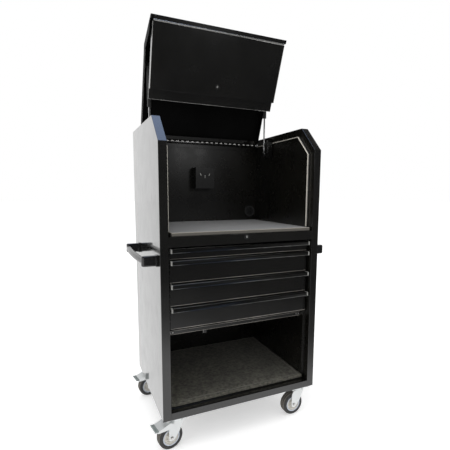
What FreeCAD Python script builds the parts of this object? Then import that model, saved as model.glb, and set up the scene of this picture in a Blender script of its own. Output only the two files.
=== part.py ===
import FreeCAD, Part
import math
import os

import Sketcher

# Rolling diagnostic workstation: a sheet metal cabinet on four casters, with four drawers,
# an open lower bay, a work surface and a bi-fold lid held up by two gas struts.
# Frame: Z up, the front faces -Y, X to the right as seen from the front.
# The origin is on the floor under the middle of the cabinet. Millimetres and degrees.

Vector = FreeCAD.Vector

DRIVING_SIZES = [
    ("cabinet_width", 686, "over the two side shells"),
    ("cabinet_depth", 500, "front edge to back panel"),
    ("cabinet_height", 1140, "bottom of the shells to the top"),
    ("caster_height", 135, "floor to the bottom of the shells"),
    ("wall_thickness", 32, "hollow side wall, also the front post"),
    ("slope_rise", 101, "height of the sloping front"),
    ("slope_run", 97, "how far back the sloping front goes"),
    ("skin", 1.5, "sheet steel"),
    ("rebate_depth", 37, "step in the inner wall behind the edges"),
    ("rebate_width", 7, "post's inner face to the inner wall"),
    ("seal_width", 10.5, "foam strip, across the step"),
    ("seal_thickness", 3, "foam strip"),
    ("seal_gap", 1, "work mat to the foam strip's lower end"),
    ("bottom_rail_height", 29, "rail across the bottom of the front"),
    ("floor_height", 33, "floor of the lower bay"),
    ("floor_setback", 30, "front plane to the step up to that floor"),
    ("caster_channel_depth", 90, "channel over each pair of casters"),
    ("caster_channel_height", 26, "channel over each pair of casters"),
    ("caster_channel_skin", 3, "thicker steel of those channels"),
    ("mat_thickness", 13.5, "foam mats"),
    ("mat_gap", 1, "foam mats to the walls around them"),
    ("work_mat_setback", 2, "front plane to the work mat"),
    ("worktop_height", 705, "top of the worktop deck"),
    ("top_rail_height", 38, "rail under the work surface"),
    ("drawer_top_gap", 8, "that rail to the first drawer front"),
    ("small_drawer_pitch", 44.5, "first drawer"),
    ("tall_drawer_pitch", 89, "other drawers"),
    ("drawer_gap", 3, "between drawer fronts"),
    ("drawer_front_gap", 1, "drawer front to the inner wall"),
    ("drawer_face_setback", 25, "front plane to the drawer face"),
    ("drawer_side_gap", 17, "drawer box to the inner wall"),
    ("drawer_back_gap", 20, "drawer box to the back plane"),
    ("drawer_bottom_gap", 2, "drawer box above its front's lower edge"),
    ("divider_gap", 18.5, "last drawer front to the shelf over the lower bay"),
    ("divider_lip", 16, "that shelf's front lip"),
    ("divider_setback", 60, "front plane to that lip"),
    ("tongue_across", 153, "latch tongue under the lip, left of the middle"),
    ("tongue_width", 14, "latch tongue"),
    ("tongue_drop", 13, "latch tongue below the lip"),
    ("pull_height", 16, "pull along the top of each drawer"),
    ("pull_setback", 3, "front plane to the pull's lip"),
    ("pull_cap_length", 6, "end caps of the pulls"),
    ("pull_wall", 2, "pull's sheet"),
    ("pull_bevel", 3, "bevel along the pull's upper edge"),
    ("runner_height", 20, "drawer runners"),
    ("runner_wall", 1.2, "drawer runners"),
    ("runner_slack", 0.3, "drawer rail in its runner"),
    ("hinge_inset", 10, "lid's pivot to the back plane"),
    ("hinge_drop", 30, "cabinet's top to the lid's pivot"),
    ("hinge_leaf_width", 20, "cabinet leaf of the rear hinge"),
    ("hinge_end_gap", 6, "rear hinge to the inner walls"),
    ("hinge_rail_height", 22, "angle along the back that carries the rear hinge"),
    ("knuckle_length", 12.7, "half inch knuckles"),
    ("lid_knuckle_radius", 4, "rear piano hinge"),
    ("door_knuckle_radius", 3.5, "door's piano hinge"),
    ("pin_radius", 1.6, "hinge pins"),
    ("lid_side_gap", 5, "lid to the posts"),
    ("lid_open", 69.3, "angle the lid stands open in the photo"),
    ("lid_rear_overhang", 6, "lid behind its pivot"),
    ("lid_flange", 24, "lid's flange on the rear hinge"),
    ("nose_overhang", 10, "closed lid's nose in front of the cabinet"),
    ("nose_bottom", 93, "nose's lower edge below the pivot, closed"),
    ("nose_depth", 15, "nose's front to its inner wall"),
    ("nose_return", 23, "height of that inner wall"),
    ("cheek_depth", 33.5, "turned-down sides of the lid"),
    ("cheek_start", 14, "lid's pivot to those sides"),
    ("door_pivot_drop", 3, "nose's lower edge down to the door's pivot"),
    ("door_side_gap", 12, "folding door to the posts"),
    ("door_length", 290, "door from hinge edge to bottom"),
    ("door_thickness", 23, "folding door"),
    ("door_lip_length", 43, "thin strip along the door's bottom"),
    ("door_lip_thickness", 6, "thin strip along the door's bottom"),
    ("door_hinge_end_gap", 3, "door's hinge to the door's ends"),
    ("strut_wall_gap", 16, "inner wall to a strut's axis"),
    ("strut_lower_drop", 85, "cabinet's top to the strut's stud on the wall"),
    ("strut_lid_along", 318, "strut's stud on the lid, from the pivot"),
    ("strut_lid_above", 8, "strut's stud on the lid, above the pivot"),
    ("strut_tube_radius", 9, "gas strut tube"),
    ("strut_tube_length", 178, "upper eye to the tube's lower end"),
    ("strut_rod_radius", 4, "gas strut rod"),
    ("strut_rod_insertion", 26.7, "rod inside the tube, lid open"),
    ("strut_eye_radius", 8, "flat eyes of the struts"),
    ("stud_radius", 3.7, "studs of the struts"),
    ("outlet_offset", 7.5, "outlet box, left of the middle"),
    ("outlet_width", 97, "outlet box"),
    ("outlet_rise", 178, "worktop deck to the outlet box"),
    ("outlet_height", 103, "outlet box"),
    ("outlet_depth", 55, "outlet box"),
    ("outlet_cover", 2, "outlet plate"),
    ("socket_rise", 59, "outlet plate's lower edge to its middle slot"),
    ("socket_pitch", 22.5, "between the outlet's slots"),
    ("slot_width", 8, "outlet's slots"),
    ("slot_height", 18, "outlet's slots"),
    ("grommet_inset", 36, "inner wall to the cable grommet's middle"),
    ("grommet_rise", 59, "worktop deck to the cable grommet's middle"),
    ("grommet_radius", 30, "cable grommet flange"),
    ("grommet_wall", 4, "cable grommet"),
    ("handle_height", 614.5, "push handles"),
    ("handle_front", 46, "front plane to a handle's front post"),
    ("handle_back", 100, "back plane to a handle's back post"),
    ("handle_reach", 47, "side wall to the grip's ends"),
    ("handle_bow", 10, "grip's bow outward"),
    ("grip_radius", 12, "grip"),
    ("post_height", 39, "posts of the handles"),
    ("post_width", 24, "posts of the handles"),
    ("kingpin_inset", 59, "outer side to a caster's pivot"),
    ("kingpin_setback", 44, "front or back plane to a caster's pivot"),
    ("caster_trail", 25.5, "caster's pivot to its wheel's axis"),
    ("wheel_radius", 50, "caster wheel"),
    ("tyre_thickness", 15, "caster tyre"),
    ("tyre_width", 36, "caster tyre"),
    ("fork_gap", 2, "tyre's side to a fork leg"),
    ("fork_skin", 3, "caster fork"),
    ("kingpin_radius", 6, "caster kingpin"),
    ("axle_radius", 5, "caster axle bolt"),
    ("axle_slack", 0.3, "rim on its axle, fork on its kingpin"),
    ("front_left_heading", 80.6, "caster turned by this much"),
    ("front_right_heading", 88.2, "caster turned by this much"),
    ("rear_left_heading", 79.9, "caster turned by this much"),
    ("rear_right_heading", 84, "caster turned by this much"),
    ("lock_radius", 9, "key locks"),
    ("lock_slack", 0.3, "key locks in their holes"),
    ("lock_drop", 12.5, "worktop deck down to the drawer lock"),
    ("door_lock_setback", 207, "door's hinge edge to its lock"),
]

doc = FreeCAD.newDocument("DiagnosticWorkstation")
sheet = doc.addObject("Spreadsheet::Sheet", "Dims")
for row, (alias, value, note) in enumerate(DRIVING_SIZES, start=1):
    sheet.set(f"A{row}", alias)
    sheet.set(f"B{row}", str(value))
    sheet.setAlias(f"B{row}", alias)
    sheet.set(f"C{row}", note)
doc.recompute()

pieces = {}


# Sizes that remember their formula
class Size:
    """A number kept together with the sheet formula it comes from."""

    def __init__(self, value, formula):
        self.value = float(value)
        self.formula = formula

    def __add__(self, other):
        other = as_size(other)
        return Size(self.value + other.value, f"({self.formula} + {other.formula})")

    def __sub__(self, other):
        other = as_size(other)
        return Size(self.value - other.value, f"({self.formula} - {other.formula})")

    def __mul__(self, other):
        other = as_size(other)
        return Size(self.value * other.value, f"({self.formula} * {other.formula})")

    def __truediv__(self, other):
        other = as_size(other)
        return Size(self.value / other.value, f"({self.formula} / {other.formula})")

    def __neg__(self):
        return Size(-self.value, f"(0 - {self.formula})")

    def __radd__(self, other):
        return as_size(other) + self

    def __rsub__(self, other):
        return as_size(other) - self

    def __rmul__(self, other):
        return as_size(other) * self


def as_size(number):
    return number if isinstance(number, Size) else Size(number, repr(float(number)))


def dim(alias):
    return Size(sheet.get(alias), f"Dims.{alias}")


def size_sqrt(size):
    return Size(math.sqrt(size.value), f"sqrt({size.formula})")


def size_sin(angle):
    return Size(math.sin(math.radians(angle.value)), f"sin({angle.formula})")


def size_cos(angle):
    return Size(math.cos(math.radians(angle.value)), f"cos({angle.formula})")


def size_asin(ratio):
    return Size(math.degrees(math.asin(ratio.value)), f"(asin({ratio.formula}) / 1 deg)")


def bind(target, path, size):
    """Drive one property of an object by a size's formula."""
    target.setExpression(path, as_size(size).formula)


def keep(name, target):
    """Register a finished piece under its own name."""
    target.Label = name
    pieces[name] = target
    return target


# Placing pieces
def put_at(target, across=0, back=0, up=0):
    """Move a piece without turning it."""
    target.Placement.Base = Vector(as_size(across).value, as_size(back).value, as_size(up).value)
    bind(target, "Placement.Base.x", across)
    bind(target, "Placement.Base.y", back)
    bind(target, "Placement.Base.z", up)
    return target


def turn(target, axis, angle):
    """Turn a piece about an axis through its own origin."""
    target.Placement.Rotation = FreeCAD.Rotation(axis, as_size(angle).value)
    bind(target, "Placement.Rotation.Angle", angle)
    return target


# Plain solids
def box(name, x_range, y_range, z_range):
    solid = doc.addObject("Part::Box", name)
    put_at(solid, x_range[0], y_range[0], z_range[0])
    bind(solid, "Length", as_size(x_range[1]) - x_range[0])
    bind(solid, "Width", as_size(y_range[1]) - y_range[0])
    bind(solid, "Height", as_size(z_range[1]) - z_range[0])
    return solid


AXIS_TURNS = {
    "X": FreeCAD.Rotation(Vector(0, 1, 0), 90),
    "Y": FreeCAD.Rotation(Vector(1, 0, 0), -90),
    "Z": FreeCAD.Rotation(),
}


def rod(name, axis, start, radius, length):
    """A cylinder from a start point (x, y, z) along +X, +Y or +Z."""
    solid = doc.addObject("Part::Cylinder", name)
    solid.Placement.Rotation = AXIS_TURNS[axis]
    put_at(solid, *start)
    bind(solid, "Radius", radius)
    bind(solid, "Height", length)
    return solid


def join(name, parts):
    solid = doc.addObject("Part::MultiFuse", name)
    solid.Shapes = parts
    return solid


def subtract(name, base, tools):
    tool = tools[0] if len(tools) == 1 else join(name + "_tools", tools)
    solid = doc.addObject("Part::Cut", name)
    solid.Base = base
    solid.Tool = tool
    return solid


def group(name, parts):
    """Separate solids kept in one node."""
    together = doc.addObject("Part::Compound", name)
    together.Links = parts
    return together


# Sketched solids
class Ring:
    """A circle in a sketch."""

    def __init__(self, across, up, radius):
        self.across = as_size(across)
        self.up = as_size(up)
        self.radius = as_size(radius)


def pin_point(sketch, curve, spot, across, up):
    """Fix one sketch point at signed distances from the sketch's origin."""
    for kind, axis_line, size in (("DistanceX", -2, across), ("DistanceY", -1, up)):
        size = as_size(size)
        if abs(size.value) < 1e-9:
            sketch.addConstraint(Sketcher.Constraint("PointOnObject", curve, spot, axis_line))
            continue
        place = sketch.addConstraint(Sketcher.Constraint(kind, -1, 1, curve, spot, size.value))
        sketch.setExpression(f"Constraints[{place}]", size.formula)


def draw_outline(sketch, corners):
    """Draw a closed outline of straight lines, every corner fixed by its sizes."""
    corners = [(as_size(across), as_size(up)) for across, up in corners]
    lines = []
    for place, (across, up) in enumerate(corners):
        next_across, next_up = corners[(place + 1) % len(corners)]
        start = Vector(across.value, up.value, 0)
        end = Vector(next_across.value, next_up.value, 0)
        lines.append(sketch.addGeometry(Part.LineSegment(start, end), False))
    for place, line in enumerate(lines):
        following = lines[(place + 1) % len(lines)]
        sketch.addConstraint(Sketcher.Constraint("Coincident", line, 2, following, 1))
    for line, (across, up) in zip(lines, corners):
        pin_point(sketch, line, 1, across, up)


def draw_ring(sketch, ring):
    middle = Vector(ring.across.value, ring.up.value, 0)
    curve = sketch.addGeometry(Part.Circle(middle, Vector(0, 0, 1), ring.radius.value), False)
    pin_point(sketch, curve, 3, ring.across, ring.up)
    place = sketch.addConstraint(Sketcher.Constraint("Radius", curve, ring.radius.value))
    sketch.setExpression(f"Constraints[{place}]", ring.radius.formula)


def add_sketch(body, name, plane, level, shapes):
    """Sketch on one of the body's origin planes, moved along its normal to a level."""
    sketch = body.newObject("Sketcher::SketchObject", name)
    origin_plane = [item for item in body.Origin.OriginFeatures if item.Role == plane][0]
    sketch.AttachmentSupport = [(origin_plane, "")]
    sketch.MapMode = "FlatFace"
    bind(sketch, "AttachmentOffset.Base.z", level)
    for shape in shapes:
        if isinstance(shape, Ring):
            draw_ring(sketch, shape)
        else:
            draw_outline(sketch, shape)
    return sketch


def pad(body, name, plane, low, high, shapes):
    """Add a straight block between two levels across the sketch plane."""
    level = -as_size(high) if plane == "XZ_Plane" else low
    sketch = add_sketch(body, name + "_sketch", plane, level, shapes)
    feature = body.newObject("PartDesign::Pad", name)
    feature.Profile = sketch
    bind(feature, "Length", as_size(high) - low)
    return feature


def pocket(body, name, plane, low, high, shapes):
    """Cut a straight block between two levels across the sketch plane."""
    level = -as_size(low) if plane == "XZ_Plane" else high
    sketch = add_sketch(body, name + "_sketch", plane, level, shapes)
    feature = body.newObject("PartDesign::Pocket", name)
    feature.Profile = sketch
    bind(feature, "Length", as_size(high) - low)
    return feature


def turned(body, name, outline):
    """Turn an outline of (radius, along) points a full turn about the body's X axis."""
    shapes = [[(along, radius) for radius, along in outline]]
    sketch = add_sketch(body, name + "_sketch", "XZ_Plane", 0, shapes)
    feature = body.newObject("PartDesign::Revolution", name)
    feature.Profile = sketch
    feature.ReferenceAxis = (sketch, ["H_Axis"])
    feature.Angle = 360
    return feature


def new_body(name):
    return doc.addObject("PartDesign::Body", name)


# Shared sizes worked out from the driving ones
skin = dim("skin")
half_width = dim("cabinet_width") / 2
opening_half = half_width - dim("wall_thickness")
front = -dim("cabinet_depth") / 2
back = dim("cabinet_depth") / 2
bottom = dim("caster_height")
top = bottom + dim("cabinet_height")
slope_rise = dim("slope_rise")
slope_run = dim("slope_run")
edge_top = top - slope_rise
slope_length = size_sqrt(slope_run * slope_run + slope_rise * slope_rise)
front_corner_shift = (slope_length - slope_rise) / slope_run
top_corner_shift = (slope_length - slope_run) / slope_rise
liner_half = opening_half - dim("rebate_width")
mat_half = liner_half - dim("mat_gap")
mat_back = back - skin - dim("mat_gap")
worktop = bottom + dim("worktop_height")
mat_top = worktop + dim("mat_thickness")
floor_top = bottom + dim("floor_height")
floor_front = front + dim("floor_setback")
rail_low = worktop - dim("top_rail_height")
hinge_back = back - dim("hinge_inset")
hinge_up = top - dim("hinge_drop")
lid_knuckle = dim("lid_knuckle_radius")
hinge_seat = hinge_up - lid_knuckle - skin
hinge_reach = hinge_back - front
strut_middle = liner_half - dim("strut_wall_gap")
lock_radius = dim("lock_radius")
lock_hole = lock_radius + dim("lock_slack")
SIDES = (("left", -1), ("right", 1))


def mirrored(side, near, far):
    """Two levels counted from the middle, in rising order on either side."""
    return (near, far) if side > 0 else (-as_size(far), -as_size(near))


# Side walls
def profile_edge(offset, low, rear):
    """The cabinet's front, slope and top, moved inward by an offset."""
    offset = as_size(offset)
    return [
        (front + offset, low),
        (front + offset, edge_top - offset * front_corner_shift),
        (front + slope_run + offset * top_corner_shift, top - offset),
        (rear, top - offset),
    ]


def profile_band(near, far, low, rear):
    """A strip between two inward offsets, open at the bottom and the back."""
    return profile_edge(near, low, rear) + profile_edge(far, low, rear)[::-1]


def profile_plate(offset, low, rear):
    """Everything inside an inward offset, with its own bottom and back."""
    return profile_edge(offset, low, rear) + [(rear, low)]


def build_side_walls():
    low = bottom + dim("bottom_rail_height") - skin
    rear = back - skin
    for label, side in SIDES:
        shell = new_body(f"{label}_side_shell")
        outer = profile_plate(0, bottom, back)
        inner = profile_plate(skin, bottom + skin, back - skin)
        near, far = mirrored(side, opening_half, half_width)
        pad(shell, f"{label}_shell_block", "YZ_Plane", near, far, [outer])
        near, far = mirrored(side, opening_half, half_width - skin)
        pocket(shell, f"{label}_shell_hollow", "YZ_Plane", near, far, [inner])
        keep(f"{label}_side_shell", shell)

        liner = new_body(f"{label}_inner_liner")
        rebate = dim("rebate_depth")
        rims = (
            ("rebate_side", opening_half, opening_half + skin, profile_band(skin, rebate, low, rear)),
            ("rebate_step", liner_half, opening_half + skin, profile_band(rebate, rebate + skin, low, rear)),
            ("wall", liner_half, liner_half + skin, profile_plate(rebate + skin, low, rear)),
        )
        for part_name, inner_level, outer_level, outline in rims:
            near, far = mirrored(side, inner_level, outer_level)
            pad(liner, f"{label}_liner_{part_name}", "YZ_Plane", near, far, [outline])
        keep(f"{label}_inner_liner", liner)


def build_seals():
    """Foam strips on the rebate step, all around the upper opening."""
    strips = []
    rebate = dim("rebate_depth")
    for label, side in SIDES:
        strip = new_body(f"{label}_seal_strip")
        low = mat_top + dim("seal_gap")
        rear = hinge_back - dim("hinge_leaf_width") - 2
        outline = profile_band(rebate - dim("seal_thickness"), rebate, low, rear)
        near, far = mirrored(side, opening_half - dim("seal_width"), opening_half)
        pad(strip, f"{label}_seal_band", "YZ_Plane", near, far, [outline])
        strips.append(strip)
    keep("opening_seals", group("opening_seals", strips))


# Back, base and shelves
grommet_across = liner_half - dim("grommet_inset")
grommet_up = worktop + dim("grommet_rise")


def build_back_panel():
    sheet_face = back - skin
    outline = [
        (sheet_face, bottom),
        (sheet_face, hinge_seat),
        (back, hinge_seat),
        (back, bottom),
    ]
    panel = new_body("back_panel")
    pad(panel, "back_panel_sheet", "YZ_Plane", -opening_half, opening_half, [outline])
    hole = [Ring(grommet_across, grommet_up, dim("grommet_radius") - dim("grommet_wall"))]
    pocket(panel, "grommet_hole", "XZ_Plane", back - 5, back + 1, hole)
    keep("back_panel", panel)

    # The angle between the inner walls, which the lid's hinge stands on.
    flange = hinge_back - dim("hinge_leaf_width")
    angle_low = hinge_seat - dim("hinge_rail_height")
    outline = [
        (sheet_face, angle_low),
        (sheet_face, hinge_seat),
        (flange, hinge_seat),
        (flange, hinge_seat - skin),
        (sheet_face - skin, hinge_seat - skin),
        (sheet_face - skin, angle_low),
    ]
    rail = new_body("hinge_rail")
    pad(rail, "hinge_rail_angle", "YZ_Plane", -liner_half, liner_half, [outline])
    keep("hinge_rail", rail)


def build_base():
    rail_top = bottom + dim("bottom_rail_height")
    riser = floor_front
    lip = front + dim("caster_channel_depth")
    rear_lip = back - dim("caster_channel_depth")
    outline = [
        (lip, bottom),
        (front, bottom),
        (front, rail_top),
        (riser - skin, rail_top),
        (riser - skin, floor_top),
        (back - skin, floor_top),
        (back - skin, bottom),
        (rear_lip, bottom),
        (rear_lip, bottom + skin),
        (back - skin * 2, bottom + skin),
        (back - skin * 2, floor_top - skin),
        (riser, floor_top - skin),
        (riser, rail_top - skin),
        (front + skin, rail_top - skin),
        (front + skin, bottom + skin),
        (lip, bottom + skin),
    ]
    pan = new_body("base_pan")
    pad(pan, "base_pan_sheet", "YZ_Plane", -opening_half, opening_half, [outline])
    # The floor is cut back where the inner walls stand on the channels.
    for label, side in SIDES:
        near, far = mirrored(side, liner_half, opening_half + 1)
        notch = [
            (riser - skin - 1, rail_top - skin),
            (riser - skin - 1, floor_top + 1),
            (back + 1, floor_top + 1),
            (back + 1, rail_top - skin),
        ]
        pocket(pan, f"base_floor_notch_{label}", "YZ_Plane", near, far, [notch])
    keep("base_pan", pan)

    channels = []
    depth = dim("caster_channel_depth") - skin * 2
    wall = dim("caster_channel_skin")
    low = bottom + skin
    high = low + dim("caster_channel_height") - skin
    for label, start in (("front", front + skin), ("rear", back - skin * 2 - depth)):
        end = start + depth
        outline = [
            (start, low),
            (end, low),
            (end, high),
            (end - wall, high),
            (end - wall, low + wall),
            (start + wall, low + wall),
            (start + wall, high),
            (start, high),
        ]
        channel = new_body(f"{label}_caster_channel")
        inside = half_width - skin
        pad(channel, f"{label}_channel_bar", "YZ_Plane", -inside, inside, [outline])
        channels.append(channel)
    keep("caster_channels", group("caster_channels", channels))


def build_rail_and_deck():
    flange = front + dim("rebate_depth") - 1
    outline = [
        (flange, rail_low),
        (front, rail_low),
        (front, worktop - skin),
        (flange, worktop - skin),
        (flange, worktop - skin * 2),
        (front + skin, worktop - skin * 2),
        (front + skin, rail_low + skin),
        (flange, rail_low + skin),
    ]
    rail = new_body("top_rail")
    pad(rail, "top_rail_sheet", "YZ_Plane", -opening_half, opening_half, [outline])
    hole = [Ring(0, worktop - dim("lock_drop"), lock_hole)]
    pocket(rail, "top_rail_lock_hole", "XZ_Plane", front - 1, front + 5, hole)
    keep("top_rail", rail)

    deck = box("worktop_deck", (-liner_half, liner_half), (front, back - skin), (worktop - skin, worktop))
    keep("worktop_deck", deck)
    # The work mat is narrower than the bay, so it lies between the foam strips.
    half = opening_half - dim("seal_width") - dim("seal_gap")
    mat_front = front + dim("work_mat_setback")
    mat = box("work_mat", (-half, half), (mat_front, mat_back), (worktop, mat_top))
    keep("work_mat", mat)
    lower_top = floor_top + dim("mat_thickness")
    lower = box("lower_mat", (-mat_half, mat_half), (floor_front, mat_back), (floor_top, lower_top))
    keep("lower_mat", lower)


# Drawers
def drawer_levels():
    """Top and bottom of the four drawer fronts."""
    levels = []
    drawer_top = rail_low - dim("drawer_top_gap")
    pitch = dim("small_drawer_pitch")
    for _ in range(4):
        levels.append((drawer_top, drawer_top - pitch + dim("drawer_gap")))
        drawer_top = drawer_top - pitch
        pitch = dim("tall_drawer_pitch")
    return levels


def build_divider():
    """The shelf between the last drawer and the lower bay."""
    divider_top = drawer_levels()[-1][1] - dim("divider_gap")
    lip = front + dim("divider_setback")
    lip_bottom = divider_top - dim("divider_lip")
    outline = [
        (lip, lip_bottom),
        (lip, divider_top),
        (back - skin, divider_top),
        (back - skin, divider_top - skin),
        (lip + skin, divider_top - skin),
        (lip + skin, lip_bottom),
    ]
    shelf = new_body("divider_shelf")
    pad(shelf, "divider_sheet", "YZ_Plane", -liner_half, liner_half, [outline])
    tongue_low = lip_bottom - dim("tongue_drop")
    tongue = [
        (lip, tongue_low),
        (lip, lip_bottom + 3),
        (lip + skin, lip_bottom + 3),
        (lip + skin, tongue_low),
    ]
    across = -dim("tongue_across")
    half = dim("tongue_width") / 2
    pad(shelf, "divider_tongue", "YZ_Plane", across - half, across + half, [tongue])
    keep("divider_shelf", shelf)


def build_drawers():
    face = front + dim("drawer_face_setback")
    box_half = liner_half - dim("drawer_side_gap")
    box_back = back - dim("drawer_back_gap")
    front_half = liner_half - dim("drawer_front_gap")
    runner_wall = dim("runner_wall")
    half = dim("runner_height") / 2
    rail_half = half - runner_wall - dim("runner_slack")
    rail_front = front + dim("rebate_depth") + 5
    rail_span = (rail_front, box_back)
    runner_span = (rail_front - 1, box_back + 10)
    runners = []
    for number, (high, low) in enumerate(drawer_levels(), start=1):
        name = f"drawer_{number}"
        rim = high - dim("pull_height") - skin
        middle = (rim + low) / 2
        base = low + dim("drawer_bottom_gap")
        outside = box(f"{name}_outside", (-box_half, box_half), (face, box_back), (base, rim + 8))
        inside = box(
            f"{name}_inside",
            (skin - box_half, box_half - skin),
            (face + skin, box_back - skin),
            (base + skin, rim + 9),
        )
        tray = subtract(f"{name}_tray", outside, [inside])
        sheet_top = high - dim("pull_bevel")
        front_sheet = box(f"{name}_face", (-front_half, front_half), (face, face + skin), (low, sheet_top))
        rails = []
        foot = (middle - half, middle - half + runner_wall)
        cover = (middle + half - runner_wall, middle + half)
        for label, side in SIDES:
            across = mirrored(side, box_half, liner_half - 4)
            rail_levels = (middle - rail_half, middle + rail_half)
            rails.append(box(f"{name}_rail_{label}", across, rail_span, rail_levels))
            web = mirrored(side, liner_half - runner_wall, liner_half)
            shelf = mirrored(side, box_half + 3, liner_half)
            runner_sheets = [
                box(f"{name}_runner_web_{label}", web, runner_span, (middle - half, middle + half)),
                box(f"{name}_runner_cover_{label}", shelf, runner_span, cover),
                box(f"{name}_runner_foot_{label}", shelf, runner_span, foot),
            ]
            runners.append(join(f"{name}_runner_{label}", runner_sheets))
        keep(f"{name}_box", join(f"{name}_box", [tray, front_sheet] + rails))
        build_drawer_pull(name, face, high, front_half)
    keep("cabinet_runners", group("cabinet_runners", runners))


def build_drawer_pull(name, face, high, half):
    """A lipped pull along the drawer's top edge, with a cap at either end."""
    lip = front + dim("pull_setback")
    pull_low = high - dim("pull_height")
    cap = dim("pull_cap_length")
    wall = dim("pull_wall")
    bevel = dim("pull_bevel")
    outline = [
        (face, high - bevel),
        (face + skin, high - bevel),
        (face + skin, high),
        (lip + bevel, high),
        (lip, high - bevel),
        (lip, pull_low),
        (lip + wall, pull_low),
        (lip + wall, high - bevel - 0.5),
        (lip + bevel + 0.5, high - wall),
        (face - wall, high - wall),
        (face - wall, pull_low),
        (face, pull_low),
    ]
    bar = new_body(f"{name}_pull_bar")
    pad(bar, f"{name}_pull_section", "YZ_Plane", cap - half, half - cap, [outline])
    solids = [bar]
    for label, side in SIDES:
        end = new_body(f"{name}_pull_cap_{label}")
        block = [
            (face, pull_low),
            (face, high),
            (lip + bevel, high),
            (lip, high - bevel),
            (lip, pull_low),
        ]
        near, far = mirrored(side, half - cap, half)
        pad(end, f"{name}_pull_cap_block_{label}", "YZ_Plane", near, far, [block])
        solids.append(end)
    keep(f"{name}_pull", group(f"{name}_pull", solids))


# Fittings of the upper bay
def build_wall_fittings():
    centre = -dim("outlet_offset")
    left = centre - dim("outlet_width") / 2
    right = centre + dim("outlet_width") / 2
    low = worktop + dim("outlet_rise")
    high = low + dim("outlet_height")
    wall = back - skin
    opening = wall - dim("outlet_depth") + dim("outlet_cover")
    outer = box("outlet_outer", (left, right), (opening, wall), (low, high))
    inner = box(
        "outlet_inner",
        (left + skin, right - skin),
        (opening - 1, wall - skin),
        (low + skin, high - skin),
    )
    keep("outlet_box", subtract("outlet_box", outer, [inner]))
    face = opening - dim("outlet_cover")
    cover = box("outlet_cover_sheet", (left, right), (face, opening), (low, high))
    slots = []
    half = dim("slot_width") / 2
    slot_height = dim("slot_height")
    for number, shift in enumerate((-1, 0, 1)):
        across = centre + dim("socket_pitch") * shift
        up = low + dim("socket_rise") + slot_height / 2 * (abs(shift) - 1)
        span = (across - half, across + half)
        slots.append(box(f"outlet_slot_{number}", span, (face - 1, opening + 1), (up, up + slot_height)))
    keep("outlet_plate", subtract("outlet_plate", cover, slots))

    flange = dim("grommet_radius")
    flange_wall = dim("grommet_wall")
    neck = flange - flange_wall
    start = (grommet_across, wall - flange_wall, grommet_up)
    grommet = join(
        "grommet_body",
        [
            rod("grommet_front_flange", "Y", start, flange, flange_wall),
            rod("grommet_neck", "Y", start, neck - 0.3, skin + flange_wall),
        ],
    )
    start = (grommet_across, wall - flange_wall - 2, grommet_up)
    bore = rod("grommet_bore", "Y", start, neck - flange_wall, flange_wall * 2 + skin + 2)
    keep("cable_grommet", subtract("cable_grommet", grommet, [bore]))


def build_handles():
    posts = []
    grips = []
    up = bottom + dim("handle_height")
    first = front + dim("handle_front")
    last = back - dim("handle_back")
    reach = half_width + dim("handle_reach")
    post_half = dim("post_width") / 2
    half = dim("post_height") / 2
    grip_radius = dim("grip_radius")
    chord = last - first
    bow = dim("handle_bow")
    bend_radius = (chord * chord / 4 + bow * bow) / (bow * 2)
    half_turn = size_asin(chord / 2 / bend_radius)
    for label, side in SIDES:
        for spot, along in (("front", first), ("back", last)):
            name = f"{label}_{spot}_post"
            arm = box(
                f"{name}_arm",
                mirrored(side, half_width, reach),
                (along - post_half, along + post_half),
                (up - half, up + half),
            )
            end = rod(f"{name}_end", "Z", (reach * side, along, up - half), post_half, half * 2)
            posts.append(join(name, [arm, end]))
        grip = doc.addObject("Part::Torus", f"{label}_grip_bar")
        bind(grip, "Radius1", bend_radius)
        bind(grip, "Radius2", grip_radius)
        bind(grip, "Angle3", half_turn * 2)
        if side > 0:
            turn(grip, Vector(0, 0, -1), half_turn)
        else:
            turn(grip, Vector(0, 0, 1), 180 - half_turn)
        bow_centre = (reach + bow - bend_radius) * side
        put_at(grip, bow_centre, (first + last) / 2, up)
        grips.append(subtract(f"{label}_grip", grip, posts[-2:]))
    keep("handle_posts", group("handle_posts", posts))
    keep("handle_grips", group("handle_grips", grips))


# Casters
fork_inside = dim("tyre_width") / 2 + dim("fork_gap")
fork_outside = fork_inside + dim("fork_skin")
axle_slack = dim("axle_slack")


def caster_spots():
    """Name, place and heading of each caster."""
    span = half_width - dim("kingpin_inset")
    setback = dim("kingpin_setback")
    return (
        ("front_left", -span, front + setback, dim("front_left_heading")),
        ("front_right", span, front + setback, dim("front_right_heading")),
        ("rear_left", -span, back - setback, dim("rear_left_heading")),
        ("rear_right", span, back - setback, dim("rear_right_heading")),
    )


def place_caster_part(target, spot):
    """Casters are built with the wheel's axis along X and its trail toward -Y."""
    _, across, along, heading = spot
    turn(target, Vector(0, 0, -1), heading)
    put_at(target, across, along, 0)


def build_caster_plates():
    plates = []
    high = dim("caster_height")
    for name, across, along, _ in caster_spots():
        plate = box(
            f"{name}_plate_sheet",
            (across - 47, across + 47),
            (along - 40, along + 40),
            (high - 4, high),
        )
        cup = rod(f"{name}_race_cup", "Z", (across, along, high - 12), 25, 8.5)
        kingpin = rod(f"{name}_kingpin", "Z", (across, along, high - 26), dim("kingpin_radius"), 15)
        head = rod(f"{name}_kingpin_head", "Z", (across, along, high - 29), 10, 3)
        plates.append(join(f"{name}_plate", [plate, cup, kingpin, head]))
    keep("caster_plates", group("caster_plates", plates))


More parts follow.
